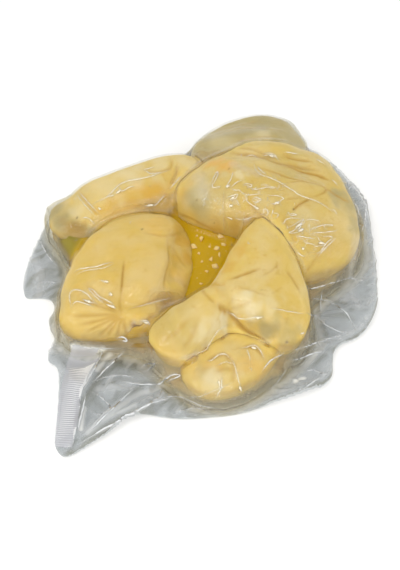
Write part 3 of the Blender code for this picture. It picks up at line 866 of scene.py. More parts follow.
CHEESES = [
    Cheese("cheese_front_left", [
        Fold([(124, 261), (122, 283), (121, 296)], 0.8 * MM, 0.8 * MM, tint=0.9),
        Fold([(121, 296), (120, 306), (121, 314)], 1.4 * MM, 0.6 * MM, tint=0.4),
        Fold([(121, 314), (98, 305), (78, 299)], 1.5 * MM, 0.8 * MM, tint=0.5),
        Fold([(121, 314), (100, 298), (86, 284)], 1.4 * MM, 0.6 * MM, tint=0.4),
        Fold([(121, 314), (96, 315), (72, 316)], 1.3 * MM, 0.6 * MM, tint=0.5),
        Fold([(121, 314), (98, 321), (80, 325)], 1.2 * MM, 0.6 * MM, tint=0.5),
        Fold([(121, 314), (101, 325), (88, 332)], 1.2 * MM, 0.6 * MM, tint=0.5),
        Fold([(121, 314), (108, 328), (99, 337)], 1.2 * MM, 0.6 * MM, tint=0.5),
        Fold([(121, 314), (113, 328), (108, 337)], 1.2 * MM, 0.6 * MM, tint=0.5),
        Fold([(121, 314), (119, 328), (117, 337)], 1.2 * MM, 0.6 * MM, tint=0.5),
        Fold([(121, 314), (125, 328), (128, 337)], 1.2 * MM, 0.6 * MM, tint=0.5),
        Fold([(129, 309), (144, 304), (158, 299), (170, 292)], 0.9 * MM, 0.7 * MM, tint=0.7),
        Fold([(169, 240), (169, 262), (166, 278), (164, 294)], 1.2 * MM, 0.6 * MM, tint=0.3),
        Fold([(138, 230), (152, 234), (166, 236), (184, 232)], 1.1 * MM, 0.5 * MM, tint=0.3),
        Fold([(172, 246), (180, 258), (187, 268)], 1.3 * MM, 0.5 * MM, tint=0.3),
        Fold([(132, 322), (137, 329), (147, 333)], 1.6 * MM, 1.8 * MM, tint=0.9),
        Fold([(135, 318), (143, 320), (150, 318)], 4.0 * MM, 1.8 * MM, Relief.RIDGE, 0.0),
    ], [
        # Pale patches on the top are partly painted highlight, soaked ones partly painted light
        # over the clefts' shade, and the olive one on the left rim painted shade.
        Patch((157, 262), 15 * MM, "pale", 0.9),
        Patch((156, 280), 12 * MM, "pale", 0.7),
        Patch((112, 238), 20 * MM, "pale", 0.4),
        Patch((181, 275), 12 * MM, "orange", 0.25),
        Patch((118, 326), 22 * MM, "rich", 0.25),
        Patch((160, 222), 18 * MM, "orange", 0.25),
        Patch((181, 240), 12 * MM, "rich", 1.0),
        Patch((187, 258), 12 * MM, "rich", 1.0),
        Patch((188, 276), 12 * MM, "soaked", 0.8),
        Patch((174, 290), 10 * MM, "soaked", 0.8),
        Patch((167, 295), 8 * MM, "soaked", 1.0),
        Patch((62, 300), 13 * MM, "olive", 0.35),
        Patch((142, 229), 1.2 * MM, "speck", 0.7),
    ], base={"rich": 0.2}),
    Cheese("cheese_back_left", [
        Fold([(79, 192), (88, 203), (98, 214)], 1.6 * MM, 1.0 * MM, tint=0.3),
        Fold([(170, 158), (172, 164), (168, 169), (154, 172), (143, 169)], 1.4 * MM, 0.8 * MM,
             tint=0.4),
        Fold([(178, 164), (176, 174), (170, 186)], 1.8 * MM, 1.2 * MM, tint=0.5),
        Fold([(70, 224), (78, 226), (88, 225)], 2.4 * MM, 1.6 * MM, tint=0.4),
    ], [
        # Pale and white patches on the top are partly painted highlight; on the left end the
        # olive patches are partly, and the fold and wide speck patches wholly, painted shade.
        Patch((104, 190), 26 * MM, "pale", 0.9),
        Patch((130, 178), 22 * MM, "pale", 0.8),
        Patch((110, 184), 24 * MM, "white", 0.25),
        Patch((132, 174), 18 * MM, "white", 0.5),
        Patch((158, 166), 20 * MM, "white", 0.5),
        Patch((185, 162), 16 * MM, "white", 0.45),
        Patch((57, 212), 18 * MM, "olive", 1.0),
        Patch((56, 226), 22 * MM, "olive", 0.9),
        Patch((66, 238), 20 * MM, "olive", 1.0),
        Patch((88, 238), 16 * MM, "olive", 0.9),
        Patch((72, 234), 16 * MM, "fold", 0.6),
        Patch((60, 214), 16 * MM, "speck", 0.1),
        Patch((70, 232), 16 * MM, "speck", 0.16),
        Patch((80, 196), 14 * MM, "olive", 0.3),
        Patch((80, 207), 14 * MM, "white", 0.5),
        Patch((134, 203), 18 * MM, "rich", 0.9),
        Patch((152, 195), 18 * MM, "rich", 1.0),
        Patch((112, 211), 16 * MM, "rich", 0.7),
        Patch((172, 186), 14 * MM, "rich", 0.8),
        Patch((77, 218), 1.4 * MM, "speck", 0.8),
    ]),
    Cheese("cheese_back_right", [
        Fold([(216, 152), (239, 154), (258, 156), (280, 163), (302, 168), (318, 171)],
             1.5 * MM, 1.5 * MM, tint=0.7),
        Fold([(229, 149), (243, 148), (257, 151), (272, 159)], 1.2 * MM, 0.8 * MM, tint=0.5),
        Fold([(284, 156), (298, 160), (312, 161)], 1.2 * MM, 1.0 * MM, tint=0.7),
        Fold([(281, 165.5), (292, 168), (303, 172), (315, 175), (324, 178), (331, 181)],
             1.2 * MM, 1.0 * MM, tint=1.0),
        Fold([(257, 167), (273, 172), (286, 176.5), (296, 179), (305, 181), (315, 183),
              (322, 186), (326, 190), (323, 193), (315, 196), (310, 198)], 0.9 * MM, 0.6 * MM,
             tint=0.8),
        Fold([(288, 182), (300, 181.5), (313, 183)], 0.8 * MM, 0.4 * MM, tint=0.6),
        Fold([(326, 188), (334, 194), (342, 199), (349, 203)], 1.0 * MM, 0.7 * MM, tint=0.7),
        Fold([(293, 210), (298.5, 205), (305, 201), (311, 198.5)], 1.0 * MM, 0.9 * MM, tint=0.9),
        Fold([(285, 200), (292, 198.5), (300, 198)], 0.9 * MM, 0.4 * MM, tint=0.4),
        Fold([(178, 214), (196, 222), (212, 229)], 1.6 * MM, 0.8 * MM, tint=0.5),
        Fold([(214, 160), (210, 156), (218, 151)], 1.2 * MM, 0.5 * MM, tint=0.4),
        Fold([(224, 190), (224, 212), (226, 232)], 1.2 * MM, 0.5 * MM, tint=0.2),
        Fold([(318, 256), (312, 264), (306, 272)], 1.2 * MM, 0.5 * MM, tint=0.3),
        Fold([(250, 200), (256, 212), (270, 216)], 2.4 * MM, 0.8 * MM, tint=0.2),
        Fold([(282, 216), (292, 230), (294, 246)], 3.0 * MM, 1.4 * MM, tint=0.3),
    ], [
        # White patches are partly painted highlight, the olive ones on the right flank painted
        # shade, and the soaked ones partly painted light over the clefts' shade.
        Patch((200, 188), 16 * MM, "white", 0.35),
        Patch((212, 210), 18 * MM, "white", 0.2),
        Patch((240, 175), 9 * MM, "white", 0.6),
        Patch((196, 200), 26 * MM, "olive", 0.75),
        Patch((182, 194), 13 * MM, "rich", 0.8),
        Patch((250, 215), 13 * MM, "rich", 0.4),
        Patch((340, 198), 14 * MM, "olive", 0.8),
        Patch((216, 162), 12 * MM, "orange", 0.85),
        Patch((226, 166), 11 * MM, "orange", 0.85),
        Patch((262, 150), 16 * MM, "pale", 0.5),
        Patch((252, 158), 14 * MM, "white", 0.2),
        Patch((328, 240), 22 * MM, "rich", 0.3),
        Patch((300, 214), 12 * MM, "white", 0.3),
        Patch((240, 228), 14 * MM, "rich", 0.6),
        Patch((182, 218), 13 * MM, "soaked", 0.9),
        Patch((192, 227), 12 * MM, "soaked", 0.9),
        Patch((200, 228), 14 * MM, "rich", 0.6),
        Patch((216, 234), 14 * MM, "rich", 1.0),
        Patch((290, 170), 30 * MM, "olive", 0.3),
        Patch((352, 206), 16 * MM, "olive", 0.7),
        Patch((358, 226), 16 * MM, "olive", 0.7),
        Patch((197, 200), 1.1 * MM, "speck", 0.6),
        Patch((229, 169), 1.3 * MM, "speck", 0.5),
        Patch((294, 209), 1.3 * MM, "speck", 0.7),
        Patch((214, 223), 1.0 * MM, "speck", 0.5),
    ], base={"olive": 0.12}),
    Cheese("cheese_back", [
        Fold([(206, 138), (228, 131), (252, 127), (284, 131)], 1.4 * MM, 0.8 * MM, tint=0.3),
        Fold([(212, 132), (232, 127), (258, 121)], 1.3 * MM, 0.6 * MM, tint=0.3),
        Fold([(232, 142), (252, 138), (276, 137)], 1.3 * MM, 0.6 * MM, tint=0.3),
    ], [
        Patch((230, 138), 40 * MM, "olive", 0.75),
        Patch((262, 122), 30 * MM, "olive", 0.9),
        Patch((222, 140), 20 * MM, "white", 0.3),
        Patch((266, 138), 16 * MM, "white", 0.5),
        Patch((284, 139), 13 * MM, "pale", 0.6),
    ], base={"olive": 0.8}),
    Cheese("cheese_front_right", [
        Fold([(170, 326), (190, 314), (208, 302), (228, 290)], 12.0 * MM, 5.0 * MM,
             Relief.RIDGE, 0.0),
        Fold([(225, 309), (231, 314), (238, 323), (247, 331), (257, 337), (268, 344)], 1.4 * MM,
             2.4 * MM, tint=1.0),
        Fold([(216, 309), (222, 309), (226, 314)], 2.2 * MM, 1.2 * MM, tint=0.8),
        Fold([(231, 280), (246, 274), (259, 269)], 1.1 * MM, 0.9 * MM, tint=0.8),
        Fold([(236, 287), (252, 290), (268, 296)], 1.0 * MM, 0.4 * MM, tint=0.3),
        Fold([(262, 276), (272, 270), (280, 262)], 1.0 * MM, 0.4 * MM, tint=0.4),
        Fold([(287, 270), (293, 280), (300, 292)], 1.1 * MM, 0.7 * MM, tint=0.6),
        Fold([(202, 288), (206, 298), (214, 306)], 1.2 * MM, 0.6 * MM, tint=0.5),
        Fold([(226, 312), (240, 306), (254, 300)], 1.8 * MM, 0.7 * MM, tint=0.2),
        Fold([(244, 322), (262, 330), (282, 330)], 5.0 * MM, 2.2 * MM, tint=0.1),
        Fold([(270, 309), (286, 312), (304, 312)], 1.0 * MM, 0.6 * MM, Relief.RIDGE, 0.0),
        Fold([(238, 317), (248, 319), (264, 317)], 2.6 * MM, 1.6 * MM, Relief.RIDGE, 0.0),
        Fold([(198, 322), (192, 336), (182, 350)], 1.4 * MM, 0.5 * MM, tint=0.3),
        Fold([(162, 342), (178, 332), (190, 322)], 1.2 * MM, 0.3 * MM, tint=0.4),
    ], [
        # White patches are partly painted highlight, and the olive and fold patches by the crease
        # partly painted shade.
        Patch((250, 304), 14 * MM, "white", 0.8),
        Patch((268, 301), 13 * MM, "white", 0.5),
        Patch((213, 328), 12 * MM, "white", 0.7),
        Patch((222, 321), 9 * MM, "white", 0.9),
        Patch((203, 334), 9 * MM, "white", 0.55),
        Patch((264, 330), 16 * MM, "olive", 0.8),
        Patch((290, 334), 13 * MM, "olive", 0.5),
        Patch((251, 331), 7 * MM, "fold", 0.35),
        Patch((165, 350), 18 * MM, "orange", 0.15),
        Patch((182, 334), 34 * MM, "olive", 0.28),
        Patch((240, 250), 9 * MM, "rich", 0.7),
        Patch((228, 268), 9 * MM, "rich", 0.7),
        Patch((214, 288), 9 * MM, "rich", 0.7),
        Patch((226, 311), 5 * MM, "fold", 0.5),
        Patch((287, 342), 1.5 * MM, "speck", 1.0),
        Patch((273, 337), 1.0 * MM, "speck", 0.4),
        Patch((262, 290), 1.0 * MM, "speck", 0.4),
    ]),
    Cheese("cheese_front", [
        Fold([(206, 361), (215, 356), (224, 354), (232, 361)], 1.6 * MM, 1.0 * MM, tint=0.5),
        Fold([(241, 348), (255, 346), (265, 359)], 1.6 * MM, 1.0 * MM, tint=0.4),
        Fold([(232, 384), (234, 370), (230, 358)], 1.6 * MM, 0.8 * MM, tint=0.3),
        Fold([(214, 372), (226, 368), (238, 372)], 1.6 * MM, 0.6 * MM, tint=0.3),
    ], [
        # White and pale patches are partly painted highlight.
        Patch((218, 384), 14 * MM, "white", 0.7),
        Patch((238, 372), 8 * MM, "white", 0.35),
        Patch((252, 366), 14 * MM, "orange", 0.3),
        Patch((208, 366), 12 * MM, "orange", 0.3),
        Patch((205, 373), 10 * MM, "olive", 0.45),
        Patch((236, 398), 16 * MM, "pale", 0.5),
    ], base={"pale": 0.4}),
]


# ---------------------------------------------------------------------------------------------
# The film


@dataclass(frozen=True)
class Ridge:
    """A standing wrinkle of the film, drawn where the photograph shows its highlight.

    Attributes:
        pixels: the line's points in the photograph.
        height: how far it stands out.
        width: how wide it is from its crest to its foot.
        crest: how milky its crest is: film whitened where it was creased hard, and painted
        highlight.
    """

    pixels: list[Pixel]
    height: float = 0.8 * MM
    width: float = 2.2 * MM
    crest: float = 0.5


@dataclass(frozen=True)
class Crinkle:
    """A patch of fine, tight wrinkles over a cheese.

    Attributes:
        pixel: its middle in the photograph.
        reach: its radius.
        strength: how strong the wrinkles and their painted glints are in its middle.
    """

    pixel: Pixel
    reach: float
    strength: float = 1.0


TIGHT_RIDGES = [
    # over the large cheese
    Ridge([(254, 164), (256.4, 170.7), (262.2, 175.5), (268.9, 177.4), (276.5, 180.8),
           (284.2, 185.1), (291.8, 189.9), (300.4, 195.6), (310, 199), (318.6, 202.3),
           (326.3, 207.1), (333, 211.9), (337.8, 214.7)], 1.0 * MM, 1.8 * MM, 0.8),
    Ridge([(224, 190), (223, 212), (225, 236)], 0.6 * MM, 1.8 * MM, 0.2),
    Ridge([(262, 156), (272, 155), (279, 160)], 0.7 * MM, 1.8 * MM, 0.9),
    Ridge([(284, 152), (298, 154)], 0.7 * MM, 2.0 * MM, 0.9),
    Ridge([(316, 159), (324, 164)], 0.7 * MM, 1.8 * MM, 0.8),
    # over the log
    Ridge([(92, 205), (100, 200), (107, 197), (118, 186), (128, 181), (139, 179), (152, 176),
           (169, 170)], 0.9 * MM, 2.0 * MM, 0.9),
    Ridge([(118, 186), (122, 191), (130, 187), (135, 186)], 0.6 * MM, 1.6 * MM, 0.9),
    Ridge([(106, 197), (115, 195)], 0.6 * MM, 2.0 * MM, 0.9),
    Ridge([(143, 170), (155, 167)], 0.6 * MM, 1.6 * MM, 0.7),
    Ridge([(144, 170), (152, 174), (161, 172)], 0.6 * MM, 1.6 * MM, 0.8),
    Ridge([(144, 206), (155, 205), (161, 199), (166, 194)], 0.9 * MM, 2.0 * MM, 1.0),
    Ridge([(170, 189), (175, 183), (181, 176)], 0.6 * MM, 1.6 * MM, 0.8),
    Ridge([(80, 193), (89, 203), (99, 214)], 1.2 * MM, 1.8 * MM, 0.7),
    Ridge([(77, 195), (86, 206), (96, 217)], 0.9 * MM, 1.6 * MM, 0.5),
    Ridge([(82, 218), (88, 218), (95, 224)], 0.7 * MM, 1.6 * MM, 0.8),
    # over the disc
    Ridge([(74, 273), (80, 269), (95, 267), (105, 264), (113, 262)], 0.8 * MM, 1.6 * MM, 0.9),
    Ridge([(76, 275), (84, 271), (98, 269), (107, 267), (114, 263)], 0.5 * MM, 1.4 * MM, 0.5),
    Ridge([(100, 280), (108, 283)], 0.5 * MM, 2.0 * MM, 0.9),
    Ridge([(88, 288), (93, 290), (100, 297), (110, 302), (116, 308)], 1.0 * MM, 1.8 * MM, 0.9),
    Ridge([(88, 288), (95, 296), (105, 304)], 0.7 * MM, 1.6 * MM, 0.7),
    Ridge([(71, 308), (70, 294), (75, 290), (84, 292), (93, 300), (98, 305)], 1.0 * MM,
          1.8 * MM, 0.8),
    Ridge([(82, 299), (89, 302), (96, 303)], 0.6 * MM, 2.2 * MM, 0.9),
    Ridge([(72, 307), (75, 302), (84, 303), (94, 307)], 0.6 * MM, 1.6 * MM, 0.8),
    Ridge([(109, 293), (110, 296)], 0.5 * MM, 2.4 * MM, 0.8),
    Ridge([(129, 309), (144, 305), (174, 297)], 0.4 * MM, 1.4 * MM, 0.5),
    Ridge([(140, 321), (147, 321), (150, 325)], 0.7 * MM, 1.8 * MM, 0.9),
    # over the wedge
    Ridge([(226, 312), (232, 314), (238, 318), (248, 319), (256, 317), (264, 317)], 0.9 * MM,
          1.8 * MM, 0.9),
    Ridge([(272, 308), (286, 311), (304, 314)], 0.5 * MM, 1.4 * MM, 0.5),
    Ridge([(300, 334), (304, 333)], 0.5 * MM, 1.8 * MM, 0.9),
    Ridge([(188, 356), (205, 350), (211, 341), (219, 330), (228, 325)], 0.8 * MM, 1.6 * MM, 0.7),
    # over the front piece
    Ridge([(241, 348), (247, 347), (254, 345), (260, 350), (264, 359)], 0.9 * MM, 1.7 * MM, 1.0),
    Ridge([(207, 361), (212, 360), (218, 355), (225, 354), (230, 358)], 0.9 * MM, 1.7 * MM, 1.0),
    Ridge([(246, 348), (249, 355), (250, 361)], 0.6 * MM, 1.5 * MM, 0.6),
    Ridge([(231, 358), (235, 366), (238, 378), (241, 388)], 0.7 * MM, 2.4 * MM, 0.7),
    Ridge([(222, 377), (221, 388), (216, 398)], 0.7 * MM, 2.8 * MM, 0.9),
    Ridge([(216, 366), (226, 362), (236, 365)], 0.5 * MM, 1.4 * MM, 0.4),
    Ridge([(182, 398), (200, 396), (216, 390), (234, 382)], 0.5 * MM, 1.5 * MM, 0.4),
]

# The sharpest folds over the large cheese. The photograph shows each as a bright hair line.
# Each is laid as a standing fold whose white is painted glint.
GLINTS = [
    [(210, 188.4), (212.4, 180.8), (216.7, 172.2), (218.2, 173.6), (215.8, 179.3), (212.4, 185.6),
     (214.3, 187.5), (220.1, 186.5), (218, 188.4), (211, 188.6)],
    [(225.4, 188), (228.7, 182.7), (231.6, 177.4), (233, 171.7)],
    [(226.3, 188.9), (229.7, 185.6), (228.7, 184)],
    [(229.7, 188), (233, 185.6), (236.4, 182.7), (242.1, 180.3)],
    [(230.6, 188.4), (234.4, 190.1), (239.2, 190.1), (242.1, 192.7), (245, 195.6)],
    [(242.1, 185.6), (245.9, 183.7), (250.7, 184.6), (252.1, 186.5), (248.8, 186.5),
     (245.9, 185.1), (243, 186.5)],
    [(250.7, 188), (253.6, 188.9), (256.4, 187.5), (254.8, 189.9), (259.3, 188.9), (267, 187.5),
     (272.7, 187), (275.6, 188.2), (270.8, 188.6)],
    [(225.4, 199.4), (229.7, 196.6), (237.8, 194.2), (235.4, 198.5), (230.6, 199.9),
     (226.8, 200.4)],
    [(235.4, 198.5), (238.3, 203.3), (238.7, 205.2)],
    [(242.1, 192.7), (247.8, 194.8), (257.4, 194.2), (262.2, 195.1)],
    [(245, 198), (247.8, 201.8), (250.7, 204.2), (256.4, 207.1), (259.8, 209)],
    [(252.1, 199), (256, 197), (259.3, 198.5), (261.2, 199.4), (257.4, 201.8), (253.6, 201.8),
     (252.1, 199)],
    [(265.5, 194.2), (270.8, 195.6), (276.5, 195.6), (280.4, 196.6), (283.7, 198.5),
     (281.3, 199.9), (279.4, 203.3), (281.3, 205.2)],
    [(270.8, 203.3), (275.6, 204.2), (278.4, 201.8), (280.8, 200.9)],
    [(260.3, 215.2), (264.1, 212.4), (263.1, 210), (266, 209), (267.9, 211.4), (267.4, 214.7),
     (264.1, 215.7)],
    [(272.2, 218.6), (271.7, 214.7), (273.2, 210), (272.7, 212.8), (276.5, 213.3),
     (278.4, 214.7), (276.5, 217.6), (272.7, 218.6)],
    [(286.1, 215.2), (288.5, 212.4), (289, 214.3), (292.8, 213.8), (296.6, 214.7),
     (290.9, 215.7), (286.1, 215.2)],
    [(281.3, 222.4), (283.2, 223.8), (286.1, 219.5), (291.8, 218.1), (301.4, 218.6)],
    [(285.1, 230.1), (288, 227.7), (294.7, 224.3), (303.3, 219.5), (301.4, 222.4),
     (297.6, 226.2), (294.7, 230.1), (289, 232.4), (295.7, 232.9), (301.4, 231),
     (306.2, 231.5)],
    [(304.3, 220.5), (310, 219.5), (314.8, 220), (319.6, 221.4)],
    [(296.6, 232), (300.4, 226.2), (305.2, 221.4)],
    [(309.5, 233.9), (309.5, 231), (312.9, 228.1), (319.6, 226.2), (326.3, 224.8),
     (333, 225.3), (327.2, 226.2)],
    [(310, 234.4), (314.8, 232.9), (324.4, 232.4), (333.9, 231), (337.8, 230.1)],
    [(294.2, 235.8), (300.4, 236.3), (307.1, 237.7), (314.8, 238.7)],
    [(300.4, 240.1), (305.2, 242.5), (312.9, 244.4), (315.8, 246.3), (322.4, 245.4),
     (325.3, 244.4), (319.6, 240.6), (317.7, 236.8), (312.9, 233.9)],
    [(318.6, 234.8), (323.4, 236.3), (329.1, 236.3), (332.5, 237.7), (328.2, 241.5),
     (325.3, 244.4), (321.5, 250.1), (314.8, 255.9)],
    [(335.8, 237.7), (332, 241.5), (324.4, 249.2), (317.2, 256.8)],
    [(331.1, 178.9), (334.9, 182.2), (337.8, 185.6)],
    [(233, 217.6), (240.2, 219.5), (247.8, 218.6), (253.6, 216.7)],
    [(297.1, 251.6), (301.4, 255.4), (305.2, 256.4)],
    [(231.6, 238.7), (231.4, 242), (231.1, 246.3)],
    [(257.4, 166.4), (261.2, 170.7), (267, 174.6)],
    [(246, 157), (252, 155), (258, 158)],
    [(262, 154), (270, 153), (276, 156), (272, 158)],
    [(336.8, 214), (335, 211), (332, 209)],
]

# Places where a fold is pressed flat and shines as a small patch: painted highlights, laid as
# short, wide white folds.
SHINES = [
    [(230, 199.5), (235, 197)], [(228.7, 206.1), (233, 205.7)], [(254, 207), (259.5, 209)],
    [(274, 203.6), (279, 203)], [(295, 228), (302, 223.5)], [(298, 232), (304, 229)],
    [(318, 243), (324, 243.5)], [(301.4, 248.2), (304.3, 249.7)], [(268, 155), (274, 157)],
    [(226.3, 217.1), (229.7, 218.1), (233, 220)], [(226, 187), (229, 186)],
    [(104, 281), (109, 282)], [(110, 292), (112, 296)], [(98, 208), (101, 210)],
    [(146, 206), (154, 205)], [(116, 194), (121, 190)], [(84, 300), (92, 303)],
    [(106, 304), (116, 308)], [(143, 322), (149, 323)], [(251, 347), (257, 349)],
    [(239, 386), (242, 392)], [(219, 380), (220, 388)], [(255, 318), (263, 317)],
]

LOOSE_RIDGES = [
    # the gusset beside the seal band
    Ridge([(104.5, 347), (100, 358), (95, 368), (88.5, 379), (86, 385)], 2.4 * MM, 4.0 * MM, 0.8),
    Ridge([(125.5, 350), (118.5, 357), (107, 368), (96, 379), (92, 384)], 2.4 * MM, 4.0 * MM,
          1.0),
    Ridge([(73, 345.5), (88, 347), (103, 348.5), (124, 348.5)], 1.6 * MM, 5.0 * MM, 0.6),
    Ridge([(92, 385), (100, 379), (113, 376), (127, 376), (138, 378.5)], 1.6 * MM, 3.0 * MM,
          0.5),
    Ridge([(116.5, 380.5), (127, 382.5), (138, 384), (159, 384), (166, 378), (175, 373.5),
           (180, 376)], 1.8 * MM, 3.5 * MM, 0.8),
    Ridge([(161, 382.5), (172, 375), (180, 375.5), (166, 382)], 1.0 * MM, 2.0 * MM, 0.9),
    Ridge([(138, 385), (130, 392), (120, 401.5), (107, 414), (93, 428), (82, 438)], 2.6 * MM,
          5.0 * MM, 0.9),
    Ridge([(177, 393), (166, 399), (152, 403), (141, 408.5), (130, 415.5), (110, 425.5),
           (93, 435), (78, 445), (75, 447)], 3.2 * MM, 6.0 * MM, 1.0),
    Ridge([(163.5, 387.5), (158, 397.5), (142, 407), (124, 417), (106, 425.5)], 1.6 * MM,
          4.0 * MM, 0.5),
    Ridge([(86, 392), (83.5, 406), (80, 421), (77, 434)], 2.0 * MM, 3.5 * MM, 0.8),
    Ridge([(88.5, 392), (99, 396), (106, 401.5), (110, 408.5), (101.5, 414), (93, 413),
           (88.5, 403)], 1.2 * MM, 3.0 * MM, 0.5),
    Ridge([(138, 370.5), (146.5, 364), (155, 364), (146.5, 370.5), (139.5, 372)], 0.8 * MM,
          2.0 * MM, 0.8),
    Ridge([(116, 338.5), (123, 337), (127, 341), (120, 340)], 0.8 * MM, 2.0 * MM, 0.8),
    # the other margins
    Ridge([(283, 353), (296, 349.5), (313, 344), (328, 339), (342, 335), (352, 332)],
          1.6 * MM, 3.5 * MM, 0.6),
    Ridge([(289, 360), (300, 358.5), (308.5, 355), (318, 352.5), (327, 353)], 2.0 * MM,
          3.0 * MM, 1.0),
    Ridge([(262, 372), (270, 361), (286, 352)], 1.4 * MM, 3.5 * MM, 0.6),
    Ridge([(302.5, 372.5), (312, 370), (319.5, 372.5), (331.5, 377.5)], 1.6 * MM, 3.0 * MM,
          0.6),
    Ridge([(262, 406), (280, 398), (301, 389), (320.5, 377.5)], 2.2 * MM, 3.0 * MM, 0.7),
    Ridge([(262, 392), (276, 384), (288, 366)], 1.4 * MM, 5.0 * MM, 0.3),
    Ridge([(308.5, 289), (317, 287.5), (328, 284), (345, 279), (357, 276)], 1.8 * MM,
          3.5 * MM, 0.7),
    Ridge([(347, 278), (356, 279.5), (365, 281.5)], 1.2 * MM, 2.5 * MM, 0.5),
    Ridge([(322.5, 291), (321, 296), (320.5, 301), (320, 312)], 1.2 * MM, 2.5 * MM, 0.9),
    Ridge([(312, 298.5), (320.5, 299.5), (330, 302), (340, 308), (347, 314), (353, 325),
           (356, 331)], 1.8 * MM, 4.0 * MM, 0.6),
    Ridge([(306, 312.5), (313, 315.5), (328, 316.5)], 1.2 * MM, 3.0 * MM, 0.5),
    Ridge([(316, 318), (323, 323), (333, 329), (342, 332.5), (352, 331)], 1.6 * MM,
          4.0 * MM, 0.6),
    Ridge([(341.5, 181.5), (357, 186.5), (364, 198), (366, 206), (365, 219), (362, 231)],
          1.6 * MM, 3.5 * MM, 0.7),
    Ridge([(352.5, 202), (357, 207), (359, 216)], 1.2 * MM, 2.5 * MM, 0.5),
    Ridge([(40, 240), (48, 256), (60, 268)], 1.6 * MM, 4.0 * MM, 0.5),
    Ridge([(34, 286), (46, 282), (60, 284)], 1.4 * MM, 4.0 * MM, 0.5),
    Ridge([(150, 402), (176, 396), (200, 405), (224, 410)], 1.4 * MM, 4.5 * MM, 0.5),
    Ridge([(172, 414), (196, 408), (214, 414)], 1.2 * MM, 4.0 * MM, 0.4),
]

# Milky strips and facets of the film, drawn brighter: partly haze, partly painted highlight.
HAZE_AND_HIGHLIGHTS = [
    Ridge([(73, 345.5), (86, 347), (103, 348.5)], 0.0, 4.5 * MM, 0.75),
    Ridge([(108, 416), (122, 405), (141, 394), (158, 390)], 0.0, 6.0 * MM, 0.3),
    Ridge([(88, 432), (104, 420), (122, 410), (150, 397)], 0.0, 5.0 * MM, 0.3),
    Ridge([(84, 408), (82, 420), (81, 430)], 0.0, 3.0 * MM, 0.6),
    Ridge([(97, 370), (104, 361), (110, 355)], 0.0, 4.0 * MM, 0.4),
    Ridge([(98, 390), (112, 387), (130, 387)], 0.0, 6.0 * MM, 0.2),
    Ridge([(78, 356), (92, 360)], 0.0, 7.0 * MM, 0.25),
    Ridge([(234, 164), (246, 169), (258, 173)], 0.0, 8.0 * MM, 0.16),
    Ridge([(198, 176), (204, 190)], 0.0, 9.0 * MM, 0.12),
    Ridge([(206, 138), (232, 132), (262, 128)], 0.0, 8.0 * MM, 0.12),
    Ridge([(295, 381), (304, 378.5)], 0.0, 3.5 * MM, 0.7),
    Ridge([(350, 290), (358, 305)], 0.0, 7.0 * MM, 0.2),
    Ridge([(60, 350), (52, 350), (50, 340)], 0.0, 6.0 * MM, 0.25),
    Ridge([(36, 262), (40, 280), (38, 300)], 0.0, 10.0 * MM, 0.2),
    Ridge([(358, 240), (352, 262), (346, 300)], 0.0, 9.0 * MM, 0.2),
]

# Facets of the margin with painted shade: their film is tinted darker.
SHADES = [
    Ridge([(116, 362), (132, 365), (150, 369)], 0.0, 8.0 * MM, 0.9),
    Ridge([(168, 392), (176, 390)], 0.0, 4.5 * MM, 0.9),
    Ridge([(180, 404), (188, 402)], 0.0, 3.5 * MM, 0.6),
    Ridge([(208, 408), (230, 402), (250, 392)], 0.0, 5.0 * MM, 0.7),
    Ridge([(87, 366), (90, 371)], 0.0, 2.5 * MM, 0.6),
    Ridge([(102, 385.5), (115, 381.5)], 0.0, 1.8 * MM, 0.7),
    Ridge([(95, 401), (102, 408)], 0.0, 4.0 * MM, 0.35),
    Ridge([(328, 297), (338, 302), (345, 303)], 0.0, 4.5 * MM, 0.7),
    Ridge([(321, 325), (326, 334)], 0.0, 4.0 * MM, 0.7),
    Ridge([(262, 390), (282, 379), (298, 368)], 0.0, 6.0 * MM, 0.6),
    Ridge([(288, 357), (302, 354)], 0.0, 2.5 * MM, 0.6),
    Ridge([(306, 385), (318, 382)], 0.0, 4.0 * MM, 0.7),
    Ridge([(44, 300), (52, 318)], 0.0, 5.0 * MM, 0.4),
]

CRINKLES = [
    Crinkle((212, 205), 22 * MM), Crinkle((250, 200), 26 * MM), Crinkle((272, 185), 20 * MM),
    Crinkle((310, 236), 26 * MM), Crinkle((92, 290), 18 * MM, 0.15),
    Crinkle((110, 200), 14 * MM, 0.15), Crinkle((150, 195), 14 * MM, 0.15),
    Crinkle((245, 360), 12 * MM, 0.3), Crinkle((225, 385), 12 * MM, 0.3),
]


def rim_of(solid: bpy.types.Object) -> np.ndarray:
    """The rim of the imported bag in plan, in order round it.

    The bag's edge is the ring of its upright faces.

    Args:
        solid: the bag's node.

    Returns:
        A fine closed curve, one point in each row.
    """
    beside: dict[tuple[int, int], set[tuple[int, int]]] = {}
    points = vertices_of(solid.data)
    for face in solid.data.polygons:
        if abs(face.normal.z) < 0.001:
            spots = {tuple(int(round(c)) for c in points[i][:2] / (0.001 * MM))
                     for i in face.vertices}
            if len(spots) == 2:
                a, b = spots
                beside.setdefault(a, set()).add(b)
                beside.setdefault(b, set()).add(a)
    walk = [min(beside)]
    while True:
        ways = sorted(beside[walk[-1]] - set(walk[-2:]) - set(walk[:1] if len(walk) < 3 else []))
        if not ways or ways[0] == walk[0]:
            break
        walk.append(ways[0])
    ring = np.array(walk, float) * 0.001 * MM
    fine = []
    for k in range(len(ring)):
        a, b, c, d = (ring[(k + s) % len(ring)] for s in (-1, 0, 1, 2))
        for t in np.arange(4) / 4:
            fine.append(0.5 * (2 * b + (c - a) * t + (2 * a - 5 * b + 4 * c - d) * t * t
                               + (3 * b - a - 3 * c + d) * t ** 3))
    return np.array(fine)


